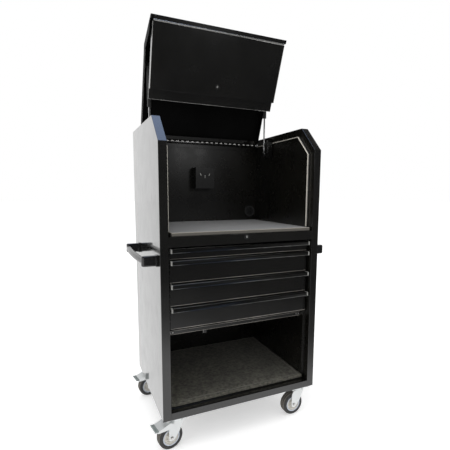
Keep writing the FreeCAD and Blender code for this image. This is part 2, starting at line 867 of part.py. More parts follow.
def build_caster(spot):
    name = spot[0]
    axle_back = -dim("caster_trail")
    axle_up = dim("wheel_radius")
    high = dim("caster_height")
    inside = fork_inside
    outside = fork_outside
    fork = new_body(f"{name}_fork_body")
    leg = [
        (axle_back - 12, axle_up - 6),
        (axle_back - 6, axle_up - 12),
        (axle_back + 7, axle_up - 12),
        (axle_back + 14, axle_up - 5),
        (6, axle_up + 18),
        (16, high - 42),
        (24, high - 27),
        (24, high - 21),
        (-27, high - 21),
        (-34, high - 31),
        (axle_back - 12, high - 44),
    ]
    pad(fork, f"{name}_fork_block", "YZ_Plane", -outside, outside, [leg])
    head = [Ring(0, 0, 26)]
    pad(fork, f"{name}_fork_head", "XY_Plane", high - 24, high - 12.6, head)
    hollow = [
        (axle_back - 40, axle_up - 30),
        (axle_back + 60, axle_up - 30),
        (axle_back + 60, high - 24.3),
        (axle_back - 40, high - 24.3),
    ]
    pocket(fork, f"{name}_fork_hollow", "YZ_Plane", -inside, inside, [hollow])
    bore = [Ring(0, 0, dim("kingpin_radius") + axle_slack)]
    pocket(fork, f"{name}_fork_bore", "XY_Plane", high - 30, high - 10, bore)
    bolt = join(
        f"{name}_axle_bolt",
        [
            rod(f"{name}_axle_shank", "X", (-outside, axle_back, axle_up), dim("axle_radius"), outside * 2),
            rod(f"{name}_axle_head", "X", (outside, axle_back, axle_up), 8, 4),
            rod(f"{name}_axle_nut", "X", (-outside - 5, axle_back, axle_up), 8, 5),
        ],
    )
    eye = [Ring(axle_back, axle_up, dim("axle_radius"))]
    pocket(fork, f"{name}_axle_eyes", "YZ_Plane", -outside - 1, outside + 1, eye)
    place_caster_part(keep(f"{name}_caster_fork", group(f"{name}_caster_fork", [fork, bolt])), spot)

    rim = new_body(f"{name}_caster_rim")
    hub = inside - 0.5
    rim_radius = dim("wheel_radius") - dim("tyre_thickness")
    web = dim("tyre_width") / 2 - 3
    outline = [
        (dim("axle_radius") + axle_slack, -hub),
        (as_size(13), -hub),
        (as_size(15), -web + 3),
        (rim_radius - 5, -web + 3),
        (rim_radius - 3, -web),
        (rim_radius, -web),
        (rim_radius, web),
        (rim_radius - 3, web),
        (rim_radius - 5, web - 3),
        (as_size(15), web - 3),
        (as_size(13), hub),
        (dim("axle_radius") + axle_slack, hub),
    ]
    turned(rim, f"{name}_rim_turning", outline)
    place_wheel_part(keep(f"{name}_caster_rim", rim), spot)

    tyre = new_body(f"{name}_caster_tyre")
    wide = dim("tyre_width") / 2
    tread = dim("wheel_radius")
    outline = [
        (rim_radius, -wide + 1.5),
        (rim_radius + 1.5, -wide),
        (tread - 4, -wide),
        (tread - 1, -wide + 3),
        (tread, -wide + 6),
        (tread, wide - 6),
        (tread - 1, wide - 3),
        (tread - 4, wide),
        (rim_radius + 1.5, wide),
        (rim_radius, wide - 1.5),
    ]
    turned(tyre, f"{name}_tyre_turning", outline)
    place_wheel_part(keep(f"{name}_caster_tyre", tyre), spot)


def place_wheel_part(target, spot):
    """Move a wheel from its own middle to the caster's axle."""
    _, across, along, heading = spot
    trail = dim("caster_trail")
    turn(target, Vector(0, 0, -1), heading)
    put_at(
        target,
        across - trail * size_sin(heading),
        along - trail * size_cos(heading),
        dim("wheel_radius"),
    )


def build_brake_pedal(spot):
    """A foot pedal over the fork's trailing side, on two ears outside the legs."""
    name = spot[0]
    high = dim("caster_height")
    outside = fork_outside
    pivot_back = as_size(-24)
    pivot_up = high - 32
    gap = as_size(0.4)
    # Seen from the side, the tread slopes down from the fork's top and ends in a level tab.
    inner_end = pivot_back - 8
    slope_end = pivot_back - 54
    tab_end = pivot_back - 69
    tread_high = pivot_up + 13.5
    tab_high = pivot_up - 2.5
    ear_low = pivot_up - 12
    tread = 2.6
    ear = [
        (pivot_back + 8, pivot_up - 6),
        (pivot_back + 8, pivot_up + 6),
        (inner_end, tread_high),
        (slope_end, tab_high),
        (tab_end, tab_high),
        (tab_end, tab_high - tread),
        (slope_end - 2, ear_low),
        (inner_end - 6, ear_low),
    ]
    pedal = new_body(f"{name}_pedal_body")
    pad(pedal, f"{name}_pedal_ears", "YZ_Plane", -outside - gap - 3, outside + gap + 3, [ear])
    under = [
        (pivot_back + 10, ear_low - 1),
        (pivot_back + 10, tread_high + 1),
        (inner_end, tread_high + 1),
        (inner_end, tread_high - tread),
        (slope_end, tab_high - tread),
        (tab_end - 1, tab_high - tread),
        (tab_end - 1, ear_low - 1),
    ]
    pocket(pedal, f"{name}_pedal_hollow", "YZ_Plane", -outside - gap, outside + gap, [under])
    studs = [
        rod(f"{name}_pedal_stud_left", "X", (-outside - gap - 3, pivot_back, pivot_up), 3, 3.3),
        rod(f"{name}_pedal_stud_right", "X", (outside + 0.1, pivot_back, pivot_up), 3, 3.3),
    ]
    place_caster_part(keep(f"{name}_brake_pedal", join(f"{name}_brake_pedal", [pedal] + studs)), spot)


# Lid and folding door, drawn as when the lid is closed
def lid_point(along, above):
    """A point by its distance forward of the lid's pivot and its height above it."""
    return (-as_size(along), as_size(above))


def place_on_lid(target):
    """Swing a piece drawn for the closed lid up to the open lid."""
    turn(target, Vector(-1, 0, 0), dim("lid_open"))
    put_at(target, 0, hinge_back, hinge_up)


lid_top = dim("hinge_drop")
lid_half = opening_half - dim("lid_side_gap")
lid_slope_start = hinge_reach - slope_run
lid_nose = hinge_reach + dim("nose_overhang")
nose_wall = lid_nose - dim("nose_depth")
nose_top = lid_top - (lid_nose - lid_slope_start) * slope_rise / slope_run
nose_bottom = -dim("nose_bottom")
nose_return = nose_bottom + dim("nose_return")
door_knuckle = dim("door_knuckle_radius")
door_pivot_along = nose_wall - door_knuckle
door_pivot_above = nose_bottom - dim("door_pivot_drop")
door_half = opening_half - dim("door_side_gap")
door_top = door_pivot_along - door_knuckle
door_end = door_top - dim("door_length")
door_outer = door_pivot_above + 1
door_inner = door_outer + dim("door_thickness")


def build_lid():
    half = lid_half
    rear = -dim("lid_rear_overhang")
    flange = dim("lid_flange")
    shell = new_body("lid_shell")
    inset_front = skin * front_corner_shift
    inset_top = skin * top_corner_shift
    section = [
        lid_point(rear, lid_top),
        lid_point(lid_slope_start, lid_top),
        lid_point(lid_nose, nose_top),
        lid_point(lid_nose, nose_bottom),
        lid_point(nose_wall, nose_bottom),
        lid_point(nose_wall, nose_return),
        lid_point(nose_wall + skin, nose_return),
        lid_point(nose_wall + skin, nose_bottom + skin),
        lid_point(lid_nose - skin, nose_bottom + skin),
        lid_point(lid_nose - skin, nose_top - inset_front),
        lid_point(lid_slope_start - inset_top, lid_top - skin),
        lid_point(rear + skin, lid_top - skin),
        lid_point(rear + skin, lid_knuckle + skin),
        lid_point(flange, lid_knuckle + skin),
        lid_point(flange, lid_knuckle),
        lid_point(rear, lid_knuckle),
    ]
    pad(shell, "lid_sheet", "YZ_Plane", -half, half, [section])
    depth = dim("cheek_depth")
    cheek_start = dim("cheek_start")
    corner_above = lid_top - slope_rise - depth * front_corner_shift
    rise = nose_return - corner_above
    corner_along = hinge_reach - depth - rise * slope_run / slope_rise
    cheek = [
        lid_point(cheek_start, lid_top - 1),
        lid_point(lid_slope_start - 1, lid_top - 1),
        lid_point(lid_nose - 1, nose_top - 1),
        lid_point(lid_nose - 1, nose_bottom + 1),
        lid_point(nose_wall + 1, nose_bottom + 1),
        lid_point(nose_wall + 1, nose_return),
        lid_point(corner_along, nose_return),
        lid_point(lid_slope_start - depth * top_corner_shift, lid_top - depth),
        lid_point(cheek_start, lid_top - depth),
    ]
    for label, side in SIDES:
        near, far = mirrored(side, half - skin, half)
        pad(shell, f"lid_cheek_{label}", "YZ_Plane", near, far, [cheek])
    place_on_lid(keep("lid_shell", shell))

    brackets = []
    along = dim("strut_lid_along")
    above = dim("strut_lid_above")
    stud_start = strut_middle + 5
    for label, side in SIDES:
        plate_levels = mirrored(side, stud_start + 6, stud_start + 9)
        plate = box(
            f"lid_bracket_plate_{label}",
            plate_levels,
            (-along - 16, -along + 16),
            (above - 10, lid_top - skin),
        )
        foot_levels = mirrored(side, stud_start - 12, stud_start + 9)
        foot = box(
            f"lid_bracket_foot_{label}",
            foot_levels,
            (-along - 16, -along + 16),
            (lid_top - skin - 2, lid_top - skin),
        )
        stud_levels = mirrored(side, stud_start, stud_start + 7)
        stud = rod(f"lid_stud_{label}", "X", (stud_levels[0], -along, above), dim("stud_radius"), 7)
        brackets.append(join(f"lid_bracket_{label}", [plate, foot, stud]))
    place_on_lid(keep("lid_strut_brackets", group("lid_strut_brackets", brackets)))


def build_door():
    half = door_half
    step_along = door_end + dim("door_lip_length")
    lip_outer = door_inner - dim("door_lip_thickness")
    back_sheet = door_inner - skin
    section = [
        lid_point(door_top, back_sheet),
        lid_point(door_top, door_outer),
        lid_point(step_along, door_outer),
        lid_point(step_along, lip_outer),
        lid_point(door_end, lip_outer),
        lid_point(door_end, back_sheet),
        lid_point(door_end + skin, back_sheet),
        lid_point(door_end + skin, lip_outer + skin),
        lid_point(step_along + skin, lip_outer + skin),
        lid_point(step_along + skin, door_outer + skin),
        lid_point(door_top - skin, door_outer + skin),
        lid_point(door_top - skin, back_sheet),
    ]
    panel = new_body("door_panel")
    pad(panel, "door_sheet", "YZ_Plane", -half, half, [section])
    end = [
        lid_point(door_top, back_sheet),
        lid_point(door_top, door_outer),
        lid_point(step_along, door_outer),
        lid_point(step_along, lip_outer),
        lid_point(door_end, lip_outer),
        lid_point(door_end, back_sheet),
    ]
    for label, side in SIDES:
        near, far = mirrored(side, half - skin, half)
        pad(panel, f"door_end_{label}", "YZ_Plane", near, far, [end])
    lock_along = -door_top + dim("door_lock_setback")
    hole = [Ring(0, lock_along, lock_hole)]
    pocket(panel, "door_lock_hole", "XY_Plane", door_outer - 1, door_outer + skin + 1, hole)
    place_on_lid(keep("door_panel", panel))

    plate = box("door_back_sheet", (-half, half), (-door_top, -door_end), (back_sheet, door_inner))
    place_on_lid(keep("door_back_plate", group("door_back_plate", [plate])))
    plug = join(
        "door_lock_plug",
        [
            rod("door_lock_barrel", "Z", (0, lock_along, door_outer - 1), lock_radius, 16),
            rod("door_lock_flange", "Z", (0, lock_along, door_outer - 3), lock_radius + 2, 2.7),
        ],
    )
    place_on_lid(keep("door_lock_plug", plug))


# Piano hinges
def knuckle_gaps(name, half, phase, across_size, up_size, radius):
    """Blocks that clear every other knuckle of a hinge barrel."""
    length = dim("knuckle_length")
    count = int(half.value / length.value) + 2
    clearance = as_size(0.3)
    reach = radius + 0.3
    gaps = []
    for number in range(-count, count + 1):
        if number % 2 != phase:
            continue
        start = length * number - clearance / 2
        gaps.append(
            box(
                f"{name}_gap_{number + count}",
                (start, start + length + clearance),
                (across_size - reach, across_size + reach),
                (up_size - reach, up_size + reach),
            )
        )
    return gaps


def hinge_leaf(name, leaf_y, leaf_z, centre_y, centre_z, radius, half, phase):
    """A flat leaf with half of the knuckles rolled around the pin."""
    leaf = box(f"{name}_leaf", (-half, half), leaf_y, leaf_z)
    barrel = rod(f"{name}_barrel", "X", (-half, centre_y, centre_z), radius, half * 2)
    solid = join(f"{name}_rolled", [leaf, barrel])
    bore = rod(f"{name}_bore", "X", (-half - 1, centre_y, centre_z), dim("pin_radius") + 0.3, half * 2 + 2)
    gaps = knuckle_gaps(name, half, phase, as_size(centre_y), as_size(centre_z), radius)
    return subtract(name, solid, [bore] + gaps)


def build_hinges():
    half = liner_half - dim("hinge_end_gap")
    pin_radius = dim("pin_radius")
    leaf = hinge_leaf(
        "lid_hinge_cabinet_leaf",
        (hinge_back - dim("hinge_leaf_width"), hinge_back),
        (hinge_seat, hinge_seat + skin + 0.7),
        hinge_back,
        hinge_up,
        lid_knuckle,
        half,
        0,
    )
    keep("lid_hinge_cabinet_leaf", leaf)
    keep("lid_hinge_pin", rod("lid_hinge_pin", "X", (-half, hinge_back, hinge_up), pin_radius, half * 2))
    leaf_levels = (lid_knuckle - skin, lid_knuckle)
    leaf = hinge_leaf("lid_hinge_lid_leaf", (-dim("lid_flange"), -1), leaf_levels, 0, 0, lid_knuckle, half, 1)
    place_on_lid(keep("lid_hinge_lid_leaf", leaf))

    centre_y, centre_z = lid_point(door_pivot_along, door_pivot_above)
    half = door_half - dim("door_hinge_end_gap")
    leaf = hinge_leaf(
        "door_hinge_nose_leaf",
        (-lid_nose + 1, -door_pivot_along - 1),
        (nose_bottom - skin, nose_bottom),
        centre_y,
        centre_z,
        door_knuckle,
        half,
        0,
    )
    place_on_lid(keep("door_hinge_nose_leaf", leaf))
    wire = rod("door_hinge_wire", "X", (-half, centre_y, centre_z), pin_radius, half * 2)
    place_on_lid(keep("door_hinge_pin", group("door_hinge_pin", [wire])))
    leaf = hinge_leaf(
        "door_hinge_door_leaf",
        (-door_top - skin, -door_top),
        (centre_z - 1, door_inner - 4),
        centre_y,
        centre_z,
        door_knuckle,
        half,
        1,
    )
    place_on_lid(keep("door_hinge_door_leaf", leaf))


# Gas struts
def build_struts():
    open_angle = dim("lid_open")
    along = dim("strut_lid_along")
    above = dim("strut_lid_above")
    upper_back = hinge_back - along * size_cos(open_angle) + above * size_sin(open_angle)
    upper_up = hinge_up + along * size_sin(open_angle) + above * size_cos(open_angle)
    lower_up = top - dim("strut_lower_drop")
    middle = strut_middle
    eye = dim("strut_eye_radius")
    rod_radius = dim("strut_rod_radius")
    eye_half = rod_radius + 0.4
    tube_radius = dim("strut_tube_radius")
    tube_low = upper_up - dim("strut_tube_length")
    tube_high = upper_up - eye - 3
    tube_length = tube_high - tube_low
    rod_top = tube_low + dim("strut_rod_insertion")
    shank_low = lower_up + eye - 3
    stud_bore = dim("stud_radius") + 0.3
    brackets = []
    for label, side in SIDES:
        axis = middle * side
        eye_start = (axis - eye_half, upper_back, lower_up)
        eye_disc = rod(f"{label}_rod_eye", "X", eye_start, eye, eye_half * 2)
        shank_start = (axis, upper_back, shank_low)
        shank = rod(f"{label}_rod_shank", "Z", shank_start, rod_radius, rod_top - shank_low)
        piston_start = (axis, upper_back, rod_top - 8)
        piston = rod(f"{label}_rod_piston", "Z", piston_start, tube_radius - skin - 0.3, 8)
        bore = rod(f"{label}_rod_bore", "X", (axis - 10, upper_back, lower_up), stud_bore, 20)
        solid = join(f"{label}_rod_solid", [eye_disc, shank, piston])
        keep(f"{label}_strut_rod", subtract(f"{label}_strut_rod", solid, [bore]))

        tube_start = (axis, upper_back, tube_low)
        tube = rod(f"{label}_tube_wall", "Z", tube_start, tube_radius, tube_length)
        neck = rod(f"{label}_tube_neck", "Z", (axis, upper_back, tube_high - 1), 3.5, 9)
        eye_start = (axis - eye_half, upper_back, upper_up)
        top_eye = rod(f"{label}_tube_eye", "X", eye_start, eye, eye_half * 2)
        hollow_start = (axis, upper_back, tube_low + 3)
        hollow = rod(f"{label}_tube_hollow", "Z", hollow_start, tube_radius - skin, tube_length - 5)
        mouth = rod(f"{label}_tube_mouth", "Z", (axis, upper_back, tube_low - 1), rod_radius + 0.3, 6)
        eye_bore = rod(f"{label}_tube_eye_bore", "X", (axis - 10, upper_back, upper_up), stud_bore, 20)
        solid = join(f"{label}_tube_solid", [tube, neck, top_eye])
        cut = subtract(f"{label}_strut_tube", solid, [hollow, mouth, eye_bore])
        keep(f"{label}_strut_tube", cut)

        plate_levels = mirrored(side, middle + 9, middle + 12)
        plate = box(
            f"{label}_wall_plate",
            plate_levels,
            (upper_back - 62, upper_back + 21),
            (lower_up - 17, lower_up + 70),
        )
        spacer_levels = mirrored(side, middle + 12, liner_half)
        spacer = box(
            f"{label}_wall_spacer",
            spacer_levels,
            (upper_back - 50, upper_back + 15),
            (lower_up - 17, lower_up + 36),
        )
        stud_levels = mirrored(side, middle - 7, middle + 10)
        stud = rod(f"{label}_wall_stud", "X", (stud_levels[0], upper_back, lower_up), dim("stud_radius"), 17)
        brackets.append(join(f"{label}_wall_bracket", [plate, spacer, stud]))
    keep("strut_wall_brackets", group("strut_wall_brackets", brackets))


def build_drawer_lock():
    up = worktop - dim("lock_drop")
    plug = join(
        "drawer_lock_plug",
        [
            rod("drawer_lock_barrel", "Y", (0, front - 1, up), lock_radius, 22),
            rod("drawer_lock_flange", "Y", (0, front - 3, up), lock_radius + 2, 2.7),
        ],
    )
    keep("drawer_lock_plug", plug)


def check_document():
    """Stop if any object failed or any piece has no sound shape."""
    for item in doc.Objects:
        if "Invalid" in item.State or "Error" in item.State:
            raise RuntimeError(f"{item.Name} did not compute")
    for name, piece in pieces.items():
        if piece.Shape.isNull() or not piece.Shape.isValid() or not piece.Shape.Solids:
            raise RuntimeError(f"{name} has no sound shape")


def write_parts():
    os.makedirs("parts", exist_ok=True)
    for name, piece in pieces.items():
        piece.Shape.exportStep(f"parts/{name}.step")


build_side_walls()
build_seals()
build_back_panel()
build_base()
build_rail_and_deck()
build_divider()
build_drawers()
build_wall_fittings()
build_handles()
build_caster_plates()
for caster_spot in caster_spots():
    build_caster(caster_spot)
for braked_spot in (caster_spots()[0], caster_spots()[2]):
    build_brake_pedal(braked_spot)
build_lid()
build_door()
build_hinges()
build_struts()
build_drawer_lock()
doc.recompute()
check_document()
write_parts()
print(len(pieces), "pieces written")
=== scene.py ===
"""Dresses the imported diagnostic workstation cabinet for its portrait.

Every size is in metres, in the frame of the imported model: Z up, the front faces -Y, the
origin on the floor under the middle of the cabinet.
"""

import logging
import math
from dataclasses import dataclass, field
from enum import Enum
from typing import Callable, Iterable, Sequence

import bmesh
import bpy
from mathutils import Matrix, Vector


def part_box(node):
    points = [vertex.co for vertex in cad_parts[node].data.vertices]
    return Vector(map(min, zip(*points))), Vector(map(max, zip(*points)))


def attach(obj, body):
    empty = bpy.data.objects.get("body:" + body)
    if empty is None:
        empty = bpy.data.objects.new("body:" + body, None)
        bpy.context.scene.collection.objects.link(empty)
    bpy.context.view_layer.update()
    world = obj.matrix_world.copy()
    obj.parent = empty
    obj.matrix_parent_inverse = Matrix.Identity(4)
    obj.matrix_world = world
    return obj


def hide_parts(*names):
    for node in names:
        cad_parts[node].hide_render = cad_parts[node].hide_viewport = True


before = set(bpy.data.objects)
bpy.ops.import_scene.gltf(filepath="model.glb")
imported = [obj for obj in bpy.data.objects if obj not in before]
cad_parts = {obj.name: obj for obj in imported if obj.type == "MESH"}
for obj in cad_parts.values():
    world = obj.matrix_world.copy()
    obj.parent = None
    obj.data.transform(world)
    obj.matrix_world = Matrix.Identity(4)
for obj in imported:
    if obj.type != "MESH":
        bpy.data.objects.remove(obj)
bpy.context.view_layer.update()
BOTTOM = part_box("left_side_shell")[0][2]
log = logging.getLogger("workstation")

BMesh = bmesh.types.BMesh
Socket = bpy.types.NodeSocket
Source = Socket | float | Sequence[float]
Pick = Callable[[Vector, Vector], int]

WHITE = (1.0, 1.0, 1.0, 1.0)
# The widths of the patches in which a finish changes its gloss and its colour, in metres
SMEAR_SIZE = 0.07
DRIFT_SIZE = 0.16
# Edges of a CAD node that turn by more than this are rounded
SHARP = math.radians(35.0)


# Materials
class Grain(Enum):
    """Which procedural texture gives a finish its fine surface."""

    ORANGE_PEEL = "orange_peel"
    PEBBLE = "pebble"
    BRUSHED = "brushed"


class Bench:
    """A node tree with short ways to add nodes and to link them."""

    def __init__(self, tree: bpy.types.NodeTree) -> None:
        """Takes the tree to work on.

        Args:
            tree: The node tree of a material or a world.
        """
        self.nodes = tree.nodes
        self.links = tree.links

    def add(self, kind: str, **values: Source) -> bpy.types.Node:
        """Adds a node.

        Args:
            kind: The node's type, without its ShaderNode prefix.
            **values: What goes into its inputs, with _ for a space in their names.

        Returns:
            The new node.
        """
        node = self.nodes.new(f"ShaderNode{kind}")
        self.fill(node, **values)
        return node

    def fill(self, node: bpy.types.Node, **values: Source) -> None:
        """Gives each named input of a node a constant, or links an output to it.

        Args:
            node: The node.
            **values: What goes into its inputs, with _ for a space in their names.
        """
        for name, value in values.items():
            target = node.inputs[name.replace("_", " ")]
            if isinstance(value, Socket):
                self.join(value, target)
            else:
                target.default_value = value

    def join(self, start: Socket, end: Socket) -> None:
        """Links an output to an input."""
        self.links.new(start, end)

    def noise(self, place: Socket, size: float, detail: float) -> Socket:
        """Adds a noise texture.

        Args:
            place: The coordinates that it reads.
            size: The width of its patches in metres.
            detail: How many finer layers it has.

        Returns:
            Its value, from 0 to 1.
        """
        return self.add("TexNoise", Vector=place, Scale=1.0 / size, Detail=detail).outputs["Fac"]

    def span(self, value: Socket, start: Sequence[float], end: Sequence[float] = (0.0, 1.0),
             smooth: bool = False) -> Socket:
        """Maps one span of values to another.

        Args:
            value: The value that comes in.
            start: The span it is measured on.
            end: The span it is mapped to.
            smooth: Whether it eases in and out.

        Returns:
            The mapped value.
        """
        node = self.add("MapRange", Value=value, From_Min=start[0], From_Max=start[1], To_Min=end[0],
                        To_Max=end[1])
        if smooth:
            node.interpolation_type = "SMOOTHSTEP"
        return node.outputs["Result"]

    def ramp(self, value: Socket, stops: Sequence[tuple[float, Sequence[float]]]) -> Socket:
        """Adds a colour ramp.

        Args:
            value: The value that runs along the ramp.
            stops: Pairs of a position and a colour.

        Returns:
            The colour.
        """
        node = self.add("ValToRGB", Fac=value)
        elements = node.color_ramp.elements
        while len(elements) < len(stops):
            elements.new(0.5)
        for element, (position, colour) in zip(elements, stops):
            element.position = position
            element.color = (*colour, 1.0)
        return node.outputs["Color"]

    def mix(self, share: Socket, first: Source, second: Source, kind: str = "RGBA") -> Socket:
        """Blends two colours or two values.

        Args:
            share: How much of the second one there is.
            first: The first one.
            second: The second one.
            kind: RGBA for colours, FLOAT for values.

        Returns:
            The blend.
        """
        node = self.add("Mix")
        node.data_type = kind
        self.fill(node, Factor=share, A=first, B=second)
        return node.outputs["Result"]

    def reckon(self, operation: str, first: Socket, second: Socket) -> Socket:
        """Adds one step of arithmetic.

        Args:
            operation: What is done, such as SUBTRACT.
            first: The first value.
            second: The second value.

        Returns:
            The outcome.
        """
        node = self.add("Math")
        node.operation = operation
        self.join(first, node.inputs[0])
        self.join(second, node.inputs[1])
        return node.outputs["Value"]


@dataclass(frozen=True)
class Finish:
    """A procedural finish built on one Principled shader."""

    name: str
    colour: tuple[float, float, float]
    roughness: tuple[float, float]
    grain: Grain
    grain_size: float
    relief: float
    drift: float = 0.2
    mottle: float = 0.0
    mottle_size: float = 0.002
    metallic: float = 0.0
    coat: float = 0.0
    coat_roughness: float = 0.03
    specular: float = 0.5
    sheen: float = 0.0

    def material(self) -> bpy.types.Material:
        """Returns this finish as a material, made once and shared afterwards."""
        known = bpy.data.materials.get(self.name)
        if known:
            return known
        material = bpy.data.materials.new(self.name)
        material.use_nodes = True
        bench = Bench(material.node_tree)
        place = bench.add("TexCoord").outputs["Object"]
        smear = bench.noise(place, SMEAR_SIZE, 8.0)
        bench.fill(bench.nodes["Principled BSDF"], Base_Color=self.colour_of(bench, place),
                   Roughness=bench.span(smear, (0.3, 0.7), self.roughness),
                   Normal=self.relief_of(bench, place), Metallic=self.metallic,
                   Specular_IOR_Level=self.specular, Sheen_Weight=self.sheen,
                   Coat_Weight=self.coat, Coat_Roughness=self.coat_roughness)
        return material

    def shade(self, share: float) -> tuple[float, float, float]:
        """Returns the colour made lighter or darker by a share of itself."""
        return tuple(min(1.0, max(0.0, channel * (1.0 + share))) for channel in self.colour)

    def colour_of(self, bench: Bench, place: Socket) -> Socket:
        """Drifts the colour slowly over the surface and speckles it finely.

        Args:
            bench: The material's node tree.
            place: The coordinates to read.

        Returns:
            The colour.
        """
        cloud = bench.noise(place, DRIFT_SIZE, 6.0)
        drifted = bench.ramp(cloud, [(0.3, self.shade(-self.drift)), (0.72, self.shade(self.drift))])
        if not self.mottle:
            return drifted
        specks = bench.noise(place, self.mottle_size, 3.0)
        light = bench.span(specks, (0.32, 0.68), (1.0 - self.mottle, 1.0 + self.mottle))
        scaled = bench.add("VectorMath")
        scaled.operation = "SCALE"
        bench.join(drifted, scaled.inputs[0])
        bench.join(light, scaled.inputs["Scale"])
        return scaled.outputs["Vector"]

    def relief_of(self, bench: Bench, place: Socket) -> Socket:
        """Adds the fine relief that the finish shows close up.

        Args:
            bench: The material's node tree.
            place: The coordinates to read.

        Returns:
            The bumped normal.
        """
        if self.grain is Grain.PEBBLE:
            height = bench.add("TexVoronoi", Vector=place, Scale=1.0 / self.grain_size).outputs["Distance"]
        elif self.grain is Grain.BRUSHED:
            stretched = bench.add("Mapping", Vector=place, Scale=(1.0, 1.0, 12.0)).outputs["Vector"]
            height = bench.noise(stretched, self.grain_size, 2.0)
        else:
            height = bench.noise(place, self.grain_size, 2.0)
        return bench.add("Bump", Strength=1.0, Distance=self.relief, Height=height).outputs["Normal"]


BLACK_PAINT = Finish("black_gloss_paint", (0.0050, 0.0048, 0.0042), (0.16, 0.26), Grain.ORANGE_PEEL,
                     0.006, 0.000005, drift=0.35, coat=1.0, coat_roughness=0.035)
INNER_PAINT = Finish("black_inner_paint", (0.0052, 0.0048, 0.0036), (0.24, 0.32), Grain.ORANGE_PEEL,
                     0.006, 0.000004, drift=0.35, specular=0.75)
DOOR_PAINT = Finish("black_door_paint", (0.0050, 0.0049, 0.0044), (0.18, 0.28), Grain.ORANGE_PEEL, 0.006,
                    0.000005, drift=0.35, coat=0.8, coat_roughness=0.05)
LID_PAINT = Finish("black_satin_paint", (0.0045, 0.0045, 0.0042), (0.26, 0.38), Grain.ORANGE_PEEL, 0.006,
                   0.000006, drift=0.35, coat=0.25, coat_roughness=0.12, specular=0.35)
CHEEK_PAINT = Finish("black_matt_paint", (0.0040, 0.0040, 0.0040), (0.45, 0.60), Grain.ORANGE_PEEL, 0.006,
                     0.000006, drift=0.35, specular=0.06)
WORK_MAT = Finish("work_mat_skin", (0.245, 0.245, 0.243), (0.42, 0.55), Grain.PEBBLE, 0.0022, 0.00020,
                  drift=0.07, mottle=0.16, mottle_size=0.0035, coat=0.10, coat_roughness=0.35, sheen=0.2)
WORK_MAT_EDGE = Finish("work_mat_edge", (0.105, 0.098, 0.085), (0.7, 0.85), Grain.PEBBLE, 0.0016, 0.00015,
                       drift=0.1, mottle=0.12)
# Lighter colour of the work mat's upper rounding: a painted highlight.
WORK_MAT_RIM_HIGHLIGHT = Finish("work_mat_rim_highlight", (0.42, 0.39, 0.33), (0.6, 0.75), Grain.PEBBLE, 0.0016, 0.00010,
                      drift=0.2, mottle=0.2)
LOWER_MAT = Finish("lower_mat_skin", (0.098, 0.094, 0.076), (0.52, 0.66), Grain.PEBBLE, 0.0034, 0.00040,
                   drift=0.22, mottle=0.50, mottle_size=0.0110, specular=0.3, sheen=0.15)
LOWER_MAT_GROOVE = Finish("lower_mat_groove", (0.26, 0.25, 0.215), (0.6, 0.8), Grain.PEBBLE, 0.0016,
                          0.00015, drift=0.1, mottle=0.15)
SEAL_FOAM = Finish("seal_foam", (0.40, 0.375, 0.335), (0.75, 0.90), Grain.PEBBLE, 0.0014, 0.00012,
                   drift=0.08, mottle=0.08, specular=0.3)
ZINC = Finish("zinc_plate", (0.82, 0.84, 0.84), (0.24, 0.38), Grain.BRUSHED, 0.003, 0.000015, drift=0.06,
              metallic=0.55)
BRIGHT_STEEL = Finish("bright_steel", (0.72, 0.71, 0.69), (0.20, 0.32), Grain.BRUSHED, 0.002, 0.00001,
                      drift=0.06, metallic=0.9)
# A light colour for thin beads along sheet edges: a painted highlight.
HEM_HIGHLIGHT = Finish("painted_highlight_hem", (0.36, 0.34, 0.31), (0.22, 0.34), Grain.ORANGE_PEEL, 0.004, 0.00001,
                   drift=0.45, metallic=0.3)
KNUCKLE_STEEL = Finish("knuckle_steel", (0.80, 0.79, 0.77), (0.24, 0.34), Grain.BRUSHED, 0.002, 0.00001,
                       drift=0.06, metallic=0.25)
CHROME = Finish("chrome_plate", (0.82, 0.82, 0.83), (0.05, 0.12), Grain.BRUSHED, 0.002, 0.000002,
                drift=0.03, metallic=1.0)
LOCK_STEEL = Finish("lock_face", (0.10, 0.10, 0.10), (0.18, 0.28), Grain.BRUSHED, 0.001, 0.000006,
                    drift=0.1, metallic=0.9)
# A light colour round the keyway: a painted highlight.
KEYWAY_HIGHLIGHT = Finish("keyway_painted_highlight", (0.62, 0.62, 0.60), (0.30, 0.40), Grain.BRUSHED, 0.001, 0.000006,
                      drift=0.1, metallic=0.4)
GRIP_PLASTIC = Finish("grip_plastic", (0.020, 0.021, 0.023), (0.22, 0.34), Grain.ORANGE_PEEL, 0.003,
                      0.00002, coat=0.6, coat_roughness=0.12)
POST_PLASTIC = Finish("post_plastic", (0.008, 0.008, 0.009), (0.20, 0.30), Grain.ORANGE_PEEL, 0.003,
                      0.00002, coat=0.8, coat_roughness=0.08)
BLACK_PLASTIC = Finish("black_plastic", (0.010, 0.010, 0.010), (0.26, 0.38), Grain.PEBBLE, 0.0012,
                       0.00001, coat=0.4, coat_roughness=0.1)
SHUTTER_GREY = Finish("shutter_grey", (0.44, 0.44, 0.42), (0.35, 0.45), Grain.PEBBLE, 0.001, 0.00001,
                      drift=0.1)
PULL_BLACK = Finish("pull_black", (0.006, 0.006, 0.005), (0.34, 0.46), Grain.BRUSHED, 0.003, 0.00001,
                    drift=0.25, coat=0.1, coat_roughness=0.2, specular=0.35)
# Light colour of the thin ribs along the drawer pulls: a painted highlight.
PULL_HIGHLIGHT = Finish("pull_painted_highlight", (0.34, 0.34, 0.33), (0.20, 0.30), Grain.BRUSHED, 0.003, 0.00001,
                   drift=0.3, metallic=0.4)
CAP_GREY = Finish("pull_cap_grey", (0.34, 0.34, 0.32), (0.30, 0.42), Grain.PEBBLE, 0.001, 0.00002,
                  drift=0.1)
RIM_PLASTIC = Finish("rim_plastic", (0.66, 0.63, 0.56), (0.28, 0.42), Grain.PEBBLE, 0.0012, 0.00001,
                     drift=0.06, mottle=0.03)
RIM_RING = Finish("rim_ring", (0.66, 0.71, 0.80), (0.20, 0.30), Grain.PEBBLE, 0.0012, 0.00001, drift=0.05)
